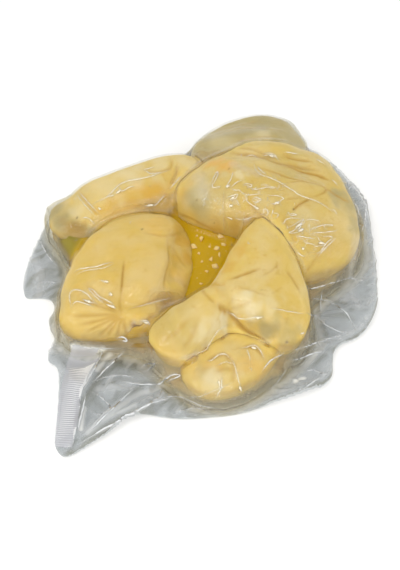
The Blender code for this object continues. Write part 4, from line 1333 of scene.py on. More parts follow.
class Grid:
    """A regular net over the bag's plan, on which the film is shaped.

    Attributes:
        low: its low corner.
        step: the distance between neighbouring knots.
        x: each knot's place across.
        y: each knot's place along.
    """

    def __init__(self, low: np.ndarray, knots: tuple[int, int], step: float) -> None:
        """Lays the net out from its low corner."""
        self.low, self.step = low, step
        across = low[0] + np.arange(knots[0]) * step
        along = low[1] + np.arange(knots[1]) * step
        self.x, self.y = np.meshgrid(across, along, indexing="ij")

    @property
    def plan(self) -> np.ndarray:
        """The knots' places, one in each row."""
        return np.stack([self.x.ravel(), self.y.ravel()], axis=1)

    def halved(self) -> "Grid":
        """The same net with half the step."""
        knots = tuple(2 * n - 1 for n in self.x.shape)
        return Grid(self.low, knots, self.step / 2)

    def sample(self, values: np.ndarray, x: np.ndarray, y: np.ndarray) -> np.ndarray:
        """Reads a field of the net between its knots.

        Args:
            values: one number for each knot.
            x: places across.
            y: places along.

        Returns:
            The field at those places.
        """
        a = np.clip((x - self.low[0]) / self.step, 0, values.shape[0] - 1.001)
        b = np.clip((y - self.low[1]) / self.step, 0, values.shape[1] - 1.001)
        i, j = a.astype(int), b.astype(int)
        s, t = a - i, b - j
        return ((values[i, j] * (1 - s) + values[i + 1, j] * s) * (1 - t)
                + (values[i, j + 1] * (1 - s) + values[i + 1, j + 1] * s) * t)

    def heights(self, tree: BVHTree, missing: float) -> np.ndarray:
        """How high a tree's faces reach above each knot, or missing where there are none."""
        top = np.full(self.x.shape, missing)
        down = Vector((0.0, 0.0, -1.0))
        for (i, j), x in np.ndenumerate(self.x):
            found = tree.ray_cast(Vector((x, self.y[i, j], 0.2)), down)[0]
            if found is not None:
                top[i, j] = found.z
        return top

    def inside(self, rim: np.ndarray) -> np.ndarray:
        """Which knots lie inside a closed curve."""
        within = np.zeros(self.x.shape, bool)
        for a, b in zip(rim, np.roll(rim, -1, axis=0)):
            spans = (a[1] > self.y) != (b[1] > self.y)
            if a[1] != b[1]:
                at = a[0] + (self.y - a[1]) * (b[0] - a[0]) / (b[1] - a[1])
                within ^= spans & (self.x < at)
        return within


def finer(values: np.ndarray) -> np.ndarray:
    """Puts a knot between each two along both axes of a field, on a smooth curve."""
    for axis in (0, 1):
        v = np.moveaxis(values, axis, 0)
        ends = np.concatenate([2 * v[:1] - v[1:2], v, 2 * v[-1:] - v[-2:-1]])
        out = np.empty((2 * v.shape[0] - 1,) + v.shape[1:])
        out[0::2] = v
        out[1::2] = (9 * (ends[1:-2] + ends[2:-1]) - ends[:-3] - ends[3:]) / 16
        values = np.moveaxis(out, 0, axis)
    return values


def blurred(values: np.ndarray, rounds: int) -> np.ndarray:
    """A field after rounds of averaging with its neighbours."""
    for _ in range(rounds):
        for axis in (0, 1):
            v = np.moveaxis(values, axis, 0)
            ends = np.concatenate([v[:1], v, v[-1:]])
            values = np.moveaxis((ends[:-2] + 2 * v + ends[2:]) / 4, 0, axis)
    return values


def widened(values: np.ndarray, rounds: int) -> np.ndarray:
    """A field after rounds of taking the highest of each knot and its neighbours."""
    for _ in range(rounds):
        for axis in (0, 1):
            v = np.moveaxis(values, axis, 0)
            ends = np.concatenate([v[:1], v, v[-1:]])
            high = np.maximum(np.maximum(ends[:-2], ends[2:]), v)
            values = np.moveaxis(high, 0, axis)
    return values


def taut_skin(ground: np.ndarray, step: float, suction: float, rounds: int) -> np.ndarray:
    """The height of a tight skin that is sucked down onto the ground.

    Args:
        ground: the height that it can't go below, for each knot.
        step: the net's step.
        suction: the curvature that the vacuum gives it where it hangs free.
        rounds: how often it is relaxed.

    Returns:
        The skin's height for each knot.
    """
    skin = ground.copy()
    i, j = np.indices(ground.shape)
    inner = np.zeros(ground.shape, bool)
    inner[1:-1, 1:-1] = True
    colours = [inner & ((i + j) % 2 == k) for k in (0, 1)]
    pull = suction * step * step
    eager = 1.85
    around = np.zeros(ground.shape)
    for _ in range(rounds):
        for colour in colours:
            around[1:-1, 1:-1] = (skin[2:, 1:-1] + skin[:-2, 1:-1] + skin[1:-1, 2:]
                                  + skin[1:-1, :-2] - pull) / 4
            moved = np.maximum(ground, skin + eager * (around - skin))
            skin = np.where(colour, moved, skin)
    return skin


@dataclass(frozen=True)
class Links:
    """The threads between knots in one direction, which keep the film from stretching.

    Attributes:
        offset: from a knot to its partner, in knots.
        stiffness: share of a thread's error that one pass mends.
    """

    offset: tuple[int, int]
    stiffness: float

    def batches(self, shape: tuple[int, int]) -> list[tuple]:
        """Groups of threads that share no knot.

        Args:
            shape: the net's knots along its two axes.

        Returns:
            Pairs of slices: the first knots, and their partners.
        """
        a, b = self.offset
        groups = []
        if a:
            low, high = max(0, -b), shape[1] - max(0, b)
            for k in range(a):
                for half in (0, 1):
                    start = k + half * a
                    firsts = slice(start, shape[0] - a, 2 * a)
                    seconds = slice(start + a, shape[0], 2 * a)
                    groups.append(((firsts, slice(low, high)),
                                   (seconds, slice(low + b, high + b))))
        else:
            for k in range(b):
                for half in (0, 1):
                    start = k + half * b
                    firsts = slice(start, shape[1] - b, 2 * b)
                    seconds = slice(start + b, shape[1], 2 * b)
                    groups.append(((slice(None), firsts), (slice(None), seconds)))
        return groups


LINKS = [
    Links((1, 0), 1.0), Links((0, 1), 1.0), Links((1, 1), 0.5), Links((1, -1), 0.5),
    Links((2, 0), 0.5), Links((0, 2), 0.5),
]


class Film:
    """The bag's two layers of film, shaped by a small cloth simulation.

    The upper layer starts as a tight skin over the contents and the margin. It is a little
    longer than that skin, as a flat bag over round cheeses is, and where it is too long it
    buckles into wrinkles while the vacuum presses it down.
    """

    step = 1.8 * MM
    clearance = 0.3 * MM
    lift = 1.0 * MM            # the upper layer's least height over the table
    suction = 420.0            # curvature of the free film, per metre
    spare = 0.004              # how much longer the film is than the skin, over the contents
    spare_round = 0.04         # in the margin, along the rim
    spare_out = 0.01           # and from the contents outwards
    rounds = 40
    passes = 8
    # facet: painted highlight on a facet of the margin that faces the light.
    facet = 0.35               # bloom of a facet of the margin that faces the light

    def __init__(self, rim: np.ndarray, contents: list, margin: bpy.types.Object,
                 view: PhotoView, pool: "BrinePool") -> None:
        """Takes the rim in plan, the pieces inside and the margin's solid.

        Args:
            rim: the bag's rim in plan.
            contents: the cheeses and the brine.
            margin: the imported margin.
            view: the photograph's view.
            pool: the brine, which knows the clefts between the cheeses.
        """
        low = rim.min(axis=0) - 2 * self.step
        span = rim.max(axis=0) + 2 * self.step - low
        knots = tuple(int(math.ceil(c / self.step)) + 1 for c in span)
        self.rim, self.view, self.contents, self.pool = rim, view, contents, pool
        self.grid = Grid(low, knots, self.step)
        self.inner = self.grid.heights(tree_of(contents), 0.0)
        self.below = self.grid.heights(tree_of([margin]), self.lift)
        self.tight = smoothstep((blurred(self.inner, 2) - 2 * MM) / (5 * MM))

    def margin_ways(self) -> np.ndarray:
        """The way out from the contents to the rim, as a direction at each knot."""
        spread = (self.inner > 3 * MM).astype(float)
        fixed = (spread > 0.5) | ~self.grid.inside(self.rim)
        held = spread.copy()
        for _ in range(160):
            spread = np.where(fixed, held, blurred(spread, 1))
        gx, gy = np.gradient(blurred(spread, 3))
        length = np.sqrt(gx * gx + gy * gy) + 1e-9
        return np.stack([-gx / length, -gy / length], axis=-1)

    def threads(self, points: np.ndarray, spare: np.ndarray, ways: np.ndarray) -> list:
        """The threads' lengths at rest, with the spare length that makes wrinkles.

        Args:
            points: the knots' places on the tight skin.
            spare: the share of extra length at each knot over the contents.
            ways: the direction from the contents to the rim at each knot.

        Returns:
            For each batch of threads, the two slices, the lengths and the stiffness.
        """
        found = []
        loose = 1 - self.tight
        for links in LINKS:
            way = np.array(links.offset, float)
            way /= np.linalg.norm(way)
            out = (ways @ way) ** 2
            margin = self.spare_out * out + self.spare_round * (1 - out)
            extra = spare * self.tight + margin * loose
            for first, second in links.batches(points.shape[:2]):
                span = np.linalg.norm(points[second] - points[first], axis=-1)
                rest = span * (1 + 0.5 * (extra[first] + extra[second]))
                found.append((first, second, rest, links.stiffness))
        return found

    def settle(self, points: np.ndarray, ground: np.ndarray, threads: list,
               press: np.ndarray) -> np.ndarray:
        """Lets the film buckle and settle on what lies under it.

        Args:
            points: the knots' places.
            ground: the height of what lies under the film.
            threads: what the method threads gave.
            press: how far the vacuum moves each knot down in a step.

        Returns:
            The knots' new places.
        """
        grid = self.grid
        slope_x, slope_y = np.gradient(ground, grid.step)
        start = points[..., :2].copy()
        well_inside = (blurred(grid.inside(self.rim).astype(float), 8) - 0.5) / 0.45
        free = smoothstep(well_inside)[..., None]
        before = points.copy()
        for _ in range(self.rounds):
            speed = 0.8 * (points - before)
            before = points.copy()
            points = points + speed
            points[..., 2] -= press
            for _ in range(self.passes):
                for first, second, rest, stiffness in threads:
                    span = points[second] - points[first]
                    length = np.sqrt((span * span).sum(axis=-1))
                    mend = 0.5 * stiffness * (1 - rest / np.maximum(length, 1e-9))
                    move = span * mend[..., None]
                    points[first] += move
                    points[second] -= move
                floor = grid.sample(ground, points[..., 0], points[..., 1])
                gx = grid.sample(slope_x, points[..., 0], points[..., 1])
                gy = grid.sample(slope_y, points[..., 0], points[..., 1])
                steep = np.sqrt(1 + gx * gx + gy * gy)
                deep = np.maximum(floor - points[..., 2], 0.0) / steep
                away = np.stack([-gx, -gy, np.ones_like(gx)], axis=-1) / steep[..., None]
                points += away * deep[..., None]
                points[..., :2] = start + free * (points[..., :2] - start)
        return points

    def faces(self, grid: Grid, points: np.ndarray) -> list:
        """The net's cells inside the rim; the knots round them are moved onto the rim.

        Args:
            grid: the net.
            points: the knots' places, which are changed along the rim.

        Returns:
            The corner lists of the faces.
        """
        n, m = grid.x.shape
        knots = grid.inside(self.rim)
        count = (knots[:-1, :-1].astype(int) + knots[1:, :-1] + knots[1:, 1:] + knots[:-1, 1:])
        cells = count >= 2
        beside = np.zeros((n, m), int)
        for di in (0, 1):
            for dj in (0, 1):
                beside[di:n - 1 + di, dj:m - 1 + dj] += cells
        edge = (beside > 0) & (beside < 4)
        places = points[edge]
        closed = np.concatenate([self.rim, self.rim[:1]])
        best = np.full(len(places), np.inf)
        target = places[:, :2].copy()
        for a, b in zip(closed, closed[1:]):
            span = b - a
            share = np.clip((places[:, :2] - a) @ span / (span @ span), 0.0, 1.0)
            spot = a + share[:, None] * span
            far = np.linalg.norm(places[:, :2] - spot, axis=1)
            nearer = far < best
            best = np.where(nearer, far, best)
            target[nearer] = spot[nearer]
        places[:, :2] = target
        points[edge] = places
        number = np.arange(n * m).reshape(n, m)
        i, j = np.nonzero(cells)
        corners = np.stack([number[i, j], number[i + 1, j], number[i + 1, j + 1],
                            number[i, j + 1]], axis=1)
        return corners.tolist()

    def crease(self, points: np.ndarray, tree: BVHTree,
               ridges: list[Ridge]) -> tuple[np.ndarray, np.ndarray]:
        """Raises ridges on the film.

        Args:
            points: the knots' places on the net.
            tree: the film's faces.
            ridges: what is raised.

        Returns:
            How far each knot is raised, and how milky it is, partly as painted highlight.
        """
        flat = points.reshape(-1, 3)
        rise = np.zeros(len(flat))
        crest = np.zeros(len(flat))
        for ridge in ridges:
            line = self.view.line(ridge.pixels, tree)
            if len(line) < 2:
                continue
            low, high = line.min(axis=0) - ridge.width, line.max(axis=0) + ridge.width
            near = np.flatnonzero(((flat > low) & (flat < high)).all(axis=1))
            far, along = distance_to_line(flat[near], line)
            ends = 0.2 + 0.8 * smoothstep(along / 0.25) * smoothstep((1 - along) / 0.25)
            tent = np.clip(1 - far / ridge.width, 0, 1) ** 1.4
            rise[near] = np.maximum(rise[near], ridge.height * tent * ends)
            sharp = ridge.crest * np.exp(-(far / (0.65 * MM)) ** 2) * ends
            crest[near] = np.maximum(crest[near], sharp)
        return rise.reshape(points.shape[:2]), crest.reshape(points.shape[:2])

    def facets(self, points: np.ndarray, tree: BVHTree, spots: list[Ridge]) -> np.ndarray:
        """How strongly each knot belongs to some soft facets of the margin, which are painted
        lighter or darker.

        Args:
            points: the knots' places on the net.
            tree: the film's faces.
            spots: the facets, of which only the line, the width and the crest count.

        Returns:
            The share at each knot.
        """
        flat = points.reshape(-1, 3)
        share = np.zeros(len(flat))
        for spot in spots:
            line = self.view.line(spot.pixels, tree)
            far, _ = distance_to_line(flat, line)
            share = np.maximum(share, spot.crest * smoothstep(1 - far / spot.width))
        return share.reshape(points.shape[:2])

    def build(self, look: bpy.types.Material) -> list:
        """Makes both layers.

        Args:
            look: the film's material.

        Returns:
            The two pieces.
        """
        grid = self.grid
        ground = np.maximum(np.maximum(widened(self.inner, 1), self.below), self.lift)
        skin = taut_skin(ground, grid.step, self.suction, 220) + self.clearance
        spots = wave_noise(grid.plan, 26 * MM, 11).reshape(skin.shape)
        spare = self.spare * np.clip(1 + 0.9 * spots, 0.0, 3.0)
        points = np.stack([grid.x, grid.y, skin], axis=-1)
        threads = self.threads(points, spare, self.margin_ways())
        jitter = np.abs(wave_noise(grid.plan, 11 * MM, 12)).reshape(skin.shape)
        points[..., 2] += 0.3 * MM * jitter * (1 + 3 * (1 - self.tight))
        press = 0.03 * MM + 0.12 * MM * self.tight
        points = self.settle(points, ground + self.clearance, threads, press)
        log.info("film settled: top %.1f mm", points[..., 2].max() / MM)

        fine = grid.halved()
        shaped = finer(points)
        tree = BVHTree.FromPolygons([tuple(p) for p in shaped.reshape(-1, 3)],
                                    self.faces(fine, shaped.copy()))
        glints = [Ridge(pixels, 0.4 * MM, 1.6 * MM, 0.6) for pixels in GLINTS]
        rise, crest = self.crease(shaped, tree, TIGHT_RIDGES + LOOSE_RIDGES + glints)
        across = np.gradient(shaped, axis=0)
        along = np.gradient(shaped, axis=1)
        normals = np.cross(across, along)
        normals /= np.linalg.norm(normals, axis=-1, keepdims=True)
        shaped += normals * rise[..., None]
        top = widened(fine.heights(tree_of(self.contents), 0.0), 1)
        least = np.maximum(fine.sample(top, shaped[..., 0], shaped[..., 1]) + 0.2 * MM,
                           0.6 * MM)
        shaped[..., 2] = np.maximum(shaped[..., 2], least)
        band = blurred(fine.inside(SealBand.outline(self.view)).astype(float), 4)
        calm = blurred(shaped[..., 2], 60)
        shaped[..., 2] += smoothstep(band * 1.6) * (calm - shaped[..., 2])
        tight = finer(self.tight)
        cloud = self.facets(shaped, tree, HAZE_AND_HIGHLIGHTS)
        # Painted light and shade: facets of the margin that face a fixed light direction get
        # painted highlight, and those that face away painted shade.
        lit = normals @ (np.array([-0.55, 0.45, 0.7]) / np.linalg.norm([-0.55, 0.45, 0.7]))
        lit = (lit - blurred(lit, 60)) * (1 - tight)
        lit = blurred(lit, 3)
        cloud = np.maximum(cloud, self.facet * np.clip(lit * 2.2, 0, 1))
        dim = np.clip(-lit * 2.2, 0, 1) * (1 - tight)
        dim = np.maximum(dim, self.facets(shaped, tree, SHADES))
        crinkle = np.zeros(tight.size)
        for patch in CRINKLES:
            middle = self.view.hit(patch.pixel, tree)
            far = np.linalg.norm(shaped.reshape(-1, 3) - middle, axis=1)
            crinkle = np.maximum(crinkle, patch.strength * smoothstep(1 - far / patch.reach))
        damp = blurred((self.inner > 2 * MM).astype(float), 30)
        damp = smoothstep(damp / 0.5) * (1 - self.tight)
        between = self.pool.grid.sample(self.pool.between, shaped[..., 0], shaped[..., 1])
        # The brim: brine held under the film over the clefts, whose colour is partly painted
        # light over their shade.
        gap = (shaped[..., 2] - fine.sample(top, shaped[..., 0], shaped[..., 1])) / (4 * MM)
        gap *= np.clip(normals[..., 2], 0, 1)
        brim = blurred(np.clip(gap - 0.15, 0, 1) * between * (top > 2 * MM), 1)
        drop = shaped[..., 2] - fine.sample(top, shaped[..., 0], shaped[..., 1])
        # Where the film hangs off the contents, more damp bloom: partly brine colour, partly
        # painted light over the shade under the film.
        skirt = smoothstep((drop - 2 * MM) / (6 * MM)) * (top < 20 * MM) * tight
        wet_and_lit = np.maximum(0.55 * finer(damp), blurred(skirt, 3))
        upper = self.sheet("film_upper", fine, shaped,
                           {"slack": 1 - tight, "crest": 0.3 * crest, "crinkle": crinkle,
                            "damp": wet_and_lit, "cloud": cloud, "brim": brim,
                            "dim": dim}, look)

        under = points.copy()
        base = np.where(self.inner > 2 * MM, 0.25 * MM, self.below - 0.8 * MM)
        ripple = 0.5 * MM * wave_noise(grid.plan, 23 * MM, 15).reshape(base.shape)
        base = blurred(base, 2) + ripple * (1 - self.tight)
        under[..., 2] = np.clip(np.minimum(base, points[..., 2] - 0.4 * MM), 0.15 * MM, None)
        zeros = np.zeros(base.shape)
        lower = self.sheet("film_lower", grid, under,
                           {"slack": 1 - self.tight, "crest": zeros, "crinkle": zeros,
                            "damp": damp, "cloud": zeros, "brim": zeros,
                            "dim": zeros}, look)
        self.upper_grid, self.upper_points = fine, shaped
        self.tight_fine, self.crinkle = tight, crinkle.reshape(tight.shape)
        self.upper_normals = normals
        self.tree = BVHTree.FromPolygons([tuple(p) for p in shaped.reshape(-1, 3)],
                                         self.faces(fine, shaped.copy()))
        return [upper, lower]

    def sheet(self, name: str, grid: Grid, points: np.ndarray, marks: dict,
              look: bpy.types.Material) -> bpy.types.Object:
        """Makes a layer from the knots of a net.

        Args:
            name: the piece's name.
            grid: the net.
            points: the knots' places.
            marks: fields that the material reads, by name.
            look: the material.

        Returns:
            The piece.
        """
        faces = self.faces(grid, points)
        used = np.unique(np.array(faces))
        renumber = np.zeros(grid.x.size, int)
        renumber[used] = np.arange(len(used))
        piece = new_object(name, points.reshape(-1, 3)[used], renumber[np.array(faces)].tolist())
        for mark, values in marks.items():
            paint(piece, mark, values.ravel()[used])
        piece.data.materials.append(look)
        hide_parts("bag")
        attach(piece, "root")
        log.info("%s: %d faces", name, len(faces))
        return piece


class PinchedFolds:
    """The hair-fine folds that stand on the film where it is pinched.

    Those that the photograph shows follow its lines, and between them lie short random ones,
    thickest where the film is crinkled.
    """

    spacing = 0.6 * MM
    sides = 6
    flatness = 0.5             # height of a fold's section over its width
    waver = 0.1 * MM           # how far a fold strays from its line
    stray_count = 50
    stray_reach = (2.0 * MM, 6.0 * MM)
    stray_width = (0.30 * MM, 0.60 * MM)

    def __init__(self, film: Film) -> None:
        """Takes the shaped film that the folds stand on."""
        self.film = film
        self.points: list[np.ndarray] = []
        self.faces: list[tuple[int, ...]] = []
        self.stress: list[np.ndarray] = []
        self.cool: list[np.ndarray] = []
        self.count = 0

    def even(self, line: np.ndarray) -> np.ndarray:
        """The same curve with points at even spacing."""
        steps = np.linalg.norm(np.diff(line, axis=0), axis=1)
        marks = np.concatenate([[0.0], np.cumsum(steps)])
        knots = max(4, int(marks[-1] / self.spacing))
        goals = np.linspace(0.0, marks[-1], knots)
        return np.stack([np.interp(goals, marks, line[:, k]) for k in range(3)], axis=1)

    def add(self, line: np.ndarray, width: float, stress: float, seed: int,
            cool: float = 0.0) -> None:
        """Lays a fold along a curve on the film.

        Args:
            line: the curve's points.
            width: how wide the fold is in its middle.
            stress: how white it is, from whitening and painted glint.
            seed: chooses how its width and whiteness vary.
            cool: 1 in the margin, where no yellow shines through it.
        """
        line = self.even(line)
        line = line + self.waver * np.stack([wave_noise(line, 7 * MM, seed + k)
                                             for k in range(3)], axis=1)
        spots, ups = [], []
        for p in line:
            spot, up, _, _ = self.film.tree.find_nearest(Vector(p))
            spots.append(np.array(spot))
            ups.append(np.array(up if up.z > 0 else -up))
        line, ups = np.array(spots), np.array(ups)
        way = np.gradient(line, axis=0)
        way /= np.linalg.norm(way, axis=1)[:, None] + 1e-12
        side = np.cross(way, ups)
        side /= np.linalg.norm(side, axis=1)[:, None] + 1e-12
        along = np.linspace(0.0, 1.0, len(line))
        ends = smoothstep(along / 0.3) * smoothstep((1 - along) / 0.3)
        vary = np.clip(0.85 + 0.2 * wave_noise(line, 6 * MM, seed + 9), 0.4, 1.1)
        broad = width * (0.25 + 0.75 * ends * vary)
        for k in range(self.sides):
            turn = math.tau * k / self.sides
            ring = (line + side * (0.5 * broad * math.cos(turn))[:, None]
                    + ups * (0.5 * broad * self.flatness * (0.6 + math.sin(turn)))[:, None])
            self.points.append(ring)
            # The fold's white share: whitening and painted glint.
            self.stress.append(stress * (0.15 + 0.85 * ends * np.clip(vary, 0, 1)))
            self.cool.append(np.full(len(line), cool))
        n = len(line)
        for k in range(self.sides):
            a = self.count + k * n
            b = self.count + (k + 1) % self.sides * n
            self.faces += [(a + i, b + i, b + i + 1, a + i + 1) for i in range(n - 1)]
        self.faces.append(tuple(self.count + k * n for k in range(self.sides)))
        self.faces.append(tuple(self.count + k * n + n - 1 for k in range(self.sides))[::-1])
        self.count += self.sides * n

    def strays(self) -> None:
        """Adds the short random folds, more of them where the film is crinkled."""
        film, draw = self.film, np.random.default_rng(21)
        grid, marks = film.upper_grid, film.crinkle
        upright = film.upper_normals[..., 2]
        chance = (0.02 + 0.98 * marks ** 1.2) * (film.tight_fine > 0.9) * (upright > 0.6)
        chance = chance.ravel() / chance.sum()
        firsts = draw.choice(chance.size, size=self.stray_count, p=chance)
        for k, first in enumerate(firsts):
            place = film.upper_points.reshape(-1, 3)[first]
            reach = draw.uniform(*self.stray_reach)
            angle, bend = draw.uniform(0.0, math.tau), draw.normal(0.0, 1.1)
            line = [place]
            for _ in range(6):
                step = reach / 6 * np.array([math.cos(angle), math.sin(angle), 0.0])
                line.append(line[-1] + step)
                angle += bend * 0.5 + draw.normal(0.0, 0.25)
            down = [film.tree.ray_cast(Vector((p[0], p[1], 0.2)), Vector((0, 0, -1)))[0]
                    for p in line]
            line = np.array([p for p in down if p is not None])
            if len(line) > 3:
                self.add(line, draw.uniform(*self.stray_width), draw.uniform(0.1, 0.4),
                         100 + k)

    def build(self, look: bpy.types.Material) -> bpy.types.Object:
        """Makes all folds as one piece.

        Args:
            look: their material.

        Returns:
            The piece.
        """
        for k, ridge in enumerate(TIGHT_RIDGES + LOOSE_RIDGES):
            line = self.film.view.line(ridge.pixels, self.film.tree)
            loose = ridge in LOOSE_RIDGES
            width = (0.8 + 0.8 * ridge.crest if loose else 0.4 + 0.4 * ridge.crest) * MM
            if ridge.crest > 0.15 and len(line) > 3:
                self.add(line, width, 0.7 * ridge.crest, 7 * k, float(loose))
        # The white of these folds, the glints and the shines is partly painted highlight.
        for k, pixels in enumerate(GLINTS):
            line = self.film.view.line(pixels, self.film.tree)
            if len(line) > 3:
                self.add(line, 0.6 * MM, 0.85, 5 * k)
        for k, pixels in enumerate(SHINES):
            line = self.film.view.line(pixels, self.film.tree)
            if len(line) > 3:
                self.add(line, 2.4 * MM, 0.6, 11 * k)
        self.strays()
        piece = new_object("film_folds", np.concatenate(self.points), self.faces)
        paint(piece, "stress", np.concatenate(self.stress))
        paint(piece, "cool", np.concatenate(self.cool))
        piece.data.materials.append(look)
        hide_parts("bag")
        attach(piece, "root")
        log.info("%s: %d faces", piece.name, len(self.faces))
        return piece


class SealBand:
    """The ribbed weld that closes the bag's mouth.

    Its two edges are drawn in the photograph's pixels, and the ribs run across it.
    """

    outer_px = [(73, 347), (67, 364), (61.5, 386), (57.5, 408), (55.5, 428), (55, 441),
                (55.5, 448)]
    inner_px = [(103, 348), (96, 365), (87, 382), (82, 391), (80, 408), (76.5, 428), (74, 440),
                (72, 448)]
    plain = 0.17               # share of its length, at its top, that has no ribs
    level = 3 * MM
    pitch = 1.6 * MM
    rib = 0.2 * MM
    per_rib = 6
    across = 14

    def build(self, view: PhotoView, film: Film, look: bpy.types.Material) -> bpy.types.Object:
        """Makes the band on the film's upper layer.

        Args:
            view: the photograph's view.
            film: the film that it lies on.
            look: its material.

        Returns:
            The piece.
        """
        edges = []
        for pixels in (self.outer_px, self.inner_px):
            edges.append(view.line(pixels, film.tree)[:, :2])
        length = np.linalg.norm(np.diff(edges[0], axis=0), axis=1).sum()
        ribs = int(round(length / self.pitch))
        rows = ribs * self.per_rib
        grid, shaped = film.upper_grid, film.upper_points
        height = shaped[..., 2]
        points = []
        marks = []
        for k in range(rows + 1):
            share = k / rows
            ends = [self.at(curve, share) for curve in edges]
            bump = 0.5 - 0.5 * math.cos(math.tau * k / self.per_rib)
            for j in range(self.across + 1):
                t = j / self.across
                x, y = ends[0] * (1 - t) + ends[1] * t
                fade = min(1.0, 5 * t, 5 * (1 - t), max(0.0, 12 * (share - self.plain)))
                z = float(grid.sample(height, np.array([x]), np.array([y]))[0])
                points.append((x, y, z + 0.25 * MM + self.rib * bump * fade))
                marks.append(bump * fade)
        wide = self.across + 1
        faces = []
        for k in range(rows):
            for j in range(self.across):
                a = k * wide + j
                faces.append((a, a + 1, a + wide + 1, a + wide))
        band = new_object("seal_band", np.array(points), faces)
        paint(band, "rib", np.array(marks))
        band.data.materials.append(look)
        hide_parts("bag")
        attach(band, "root")
        log.info("seal band: %d ribs", ribs)
        return band

    @classmethod
    def outline(cls, view: PhotoView) -> np.ndarray:
        """The band's outline in plan, as a closed curve."""
        pixels = cls.outer_px + cls.inner_px[::-1]
        return np.array([view.on_level(p, cls.level)[:2] for p in pixels])

    @staticmethod
    def at(curve: np.ndarray, share: float) -> np.ndarray:
        """The point at a share of a curve's length."""
        steps = np.linalg.norm(np.diff(curve, axis=0), axis=1)
        marks = np.concatenate([[0.0], np.cumsum(steps)])
        goal = share * marks[-1]
        return np.array([np.interp(goal, marks, curve[:, k]) for k in (0, 1)])


# ---------------------------------------------------------------------------------------------
# The brine


class BrinePool:
    """The brine that fills what the cheeses leave free."""

    step = 1.2 * MM
    full_depth = 9 * MM
    pools_px = [
        [(176, 222), (232, 226), (236, 250), (214, 286), (196, 300), (180, 290)],
        [(52, 222), (84, 222), (84, 240), (72, 258), (58, 250)],
    ]
    outside = 0.12             # how full the colour is outside the pool between the cheeses
    veil_depth = 3 * MM        # depth at which brine hides the cheese below it
    cleft_knots = 7            # half the width of a cleft that the brine fills, in knots

    def build(self, cheeses: list, view: PhotoView,
              look: bpy.types.Material) -> bpy.types.Object:
        """Makes the brine as a body under one surface.

        Args:
            cheeses: the pieces that stand in it.
            view: the photograph's view.
            look: its material.

        Returns:
            The piece.
        """
        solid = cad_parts["brine"]
        places = vertices_of(solid.data)
        low, high = places.min(axis=0), places.max(axis=0)
        knots = tuple(int(math.ceil(c / self.step)) + 3 for c in (high - low)[:2])
        grid = Grid(low[:2] - self.step, knots, self.step)
        brine = grid.heights(tree_of([solid]), -1.0)
        curd = grid.heights(tree_of(cheeses), 0.0)
        known = (brine > 0) & (curd <= brine)
        level = np.where(known, brine, np.where(curd > 0, high[2], low[2]))
        open_air = ~known & (curd <= 0)
        for _ in range(120):
            level = np.where(known | open_air, level, blurred(level, 1))
        bottom = low[2]
        body = (brine > -0.5) | (curd > 5 * MM)
        depth = np.clip((level - np.maximum(curd, bottom)) / self.full_depth, 0, 1)
        near = np.zeros(grid.x.shape)
        for pixels in self.pools_px:
            pool = np.array([view.on_level(p, 16 * MM)[:2] for p in pixels])
            near = np.maximum(near, blurred(widened(grid.inside(pool).astype(float), 4), 5))
        depth = np.maximum(depth * (self.outside + (1 - self.outside) * near),
                           0.85 * smoothstep(2 * near - 1))
        hidden = np.where(curd > bottom, np.maximum(curd - 1.5 * MM, bottom), level)
        level = np.where(known, level, near * level + (1 - near) * np.minimum(level, hidden))
        alone = [self.filled(grid.heights(tree_of([cheese]), 0.0)) for cheese in cheeses]
        between = smoothstep((self.filled(curd) - np.max(alone, axis=0) - 0.4 * MM) / MM)
        between *= blurred((near < 0.5).astype(float), 3)
        solid_top = np.maximum(curd, level)
        skin = taut_skin(widened(solid_top, 1), self.step, Film.suction, 160)
        under_film = np.maximum(skin - 0.8 * MM - 1.5 * MM * (1 - between) - level, 0)
        level = level + smoothstep(2 * between) * under_film
        # The cleft colour is partly the brine's own, partly painted light over the shade between
        # the cheeses.
        cleft = between * smoothstep((level - curd) / self.veil_depth)
        surface = np.maximum(blurred(level, 1), bottom + 0.4 * MM)
        cells = body[:-1, :-1] & body[1:, :-1] & body[1:, 1:] & body[:-1, 1:]
        n, m = grid.x.shape
        number = np.arange(n * m).reshape(n, m)
        i, j = np.nonzero(cells)
        top = np.stack([number[i, j], number[i + 1, j], number[i + 1, j + 1],
                        number[i, j + 1]], axis=1)
        count = n * m
        points = np.concatenate([
            np.stack([grid.x, grid.y, surface], axis=-1).reshape(-1, 3),
            np.stack([grid.x, grid.y, np.full(grid.x.shape, bottom)], axis=-1).reshape(-1, 3),
        ])
        faces = top.tolist() + (top[:, ::-1] + count).tolist()
        counted: dict[tuple[int, int], int] = {}
        for face in top.tolist():
            for a, b in zip(face, face[1:] + face[:1]):
                counted[(a, b)] = 1
        for a, b in counted:
            if (b, a) not in counted:
                faces.append([b, a, a + count, b + count])
        used = np.unique(np.concatenate([np.array(f) for f in faces]))
        renumber = np.zeros(len(points), int)
        renumber[used] = np.arange(len(used))
        piece = new_object("brine_body", points[used], [renumber[f].tolist() for f in faces])
        marks = np.concatenate([depth.ravel(), depth.ravel()])
        paint(piece, "depth", marks[used])
        shade = np.array([view.on_level(p, 16 * MM)[:2] for p in self.pools_px[1]])
        shade = blurred(grid.inside(shade).astype(float), 6)
        for name, values in (("shade", shade), ("cleft", blurred(cleft, 1))):
            paint(piece, name, np.concatenate([values.ravel(), values.ravel()])[used])
        piece.data.materials.append(look)
        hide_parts("brine")
        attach(piece, "root")
        log.info("%s: %d faces", piece.name, len(faces))
        self.grid, self.level, self.between = grid, surface, between
        return piece

    def filled(self, heights: np.ndarray) -> np.ndarray:
        """A height field with its narrow clefts filled."""
        return -widened(-widened(heights, self.cleft_knots), self.cleft_knots)


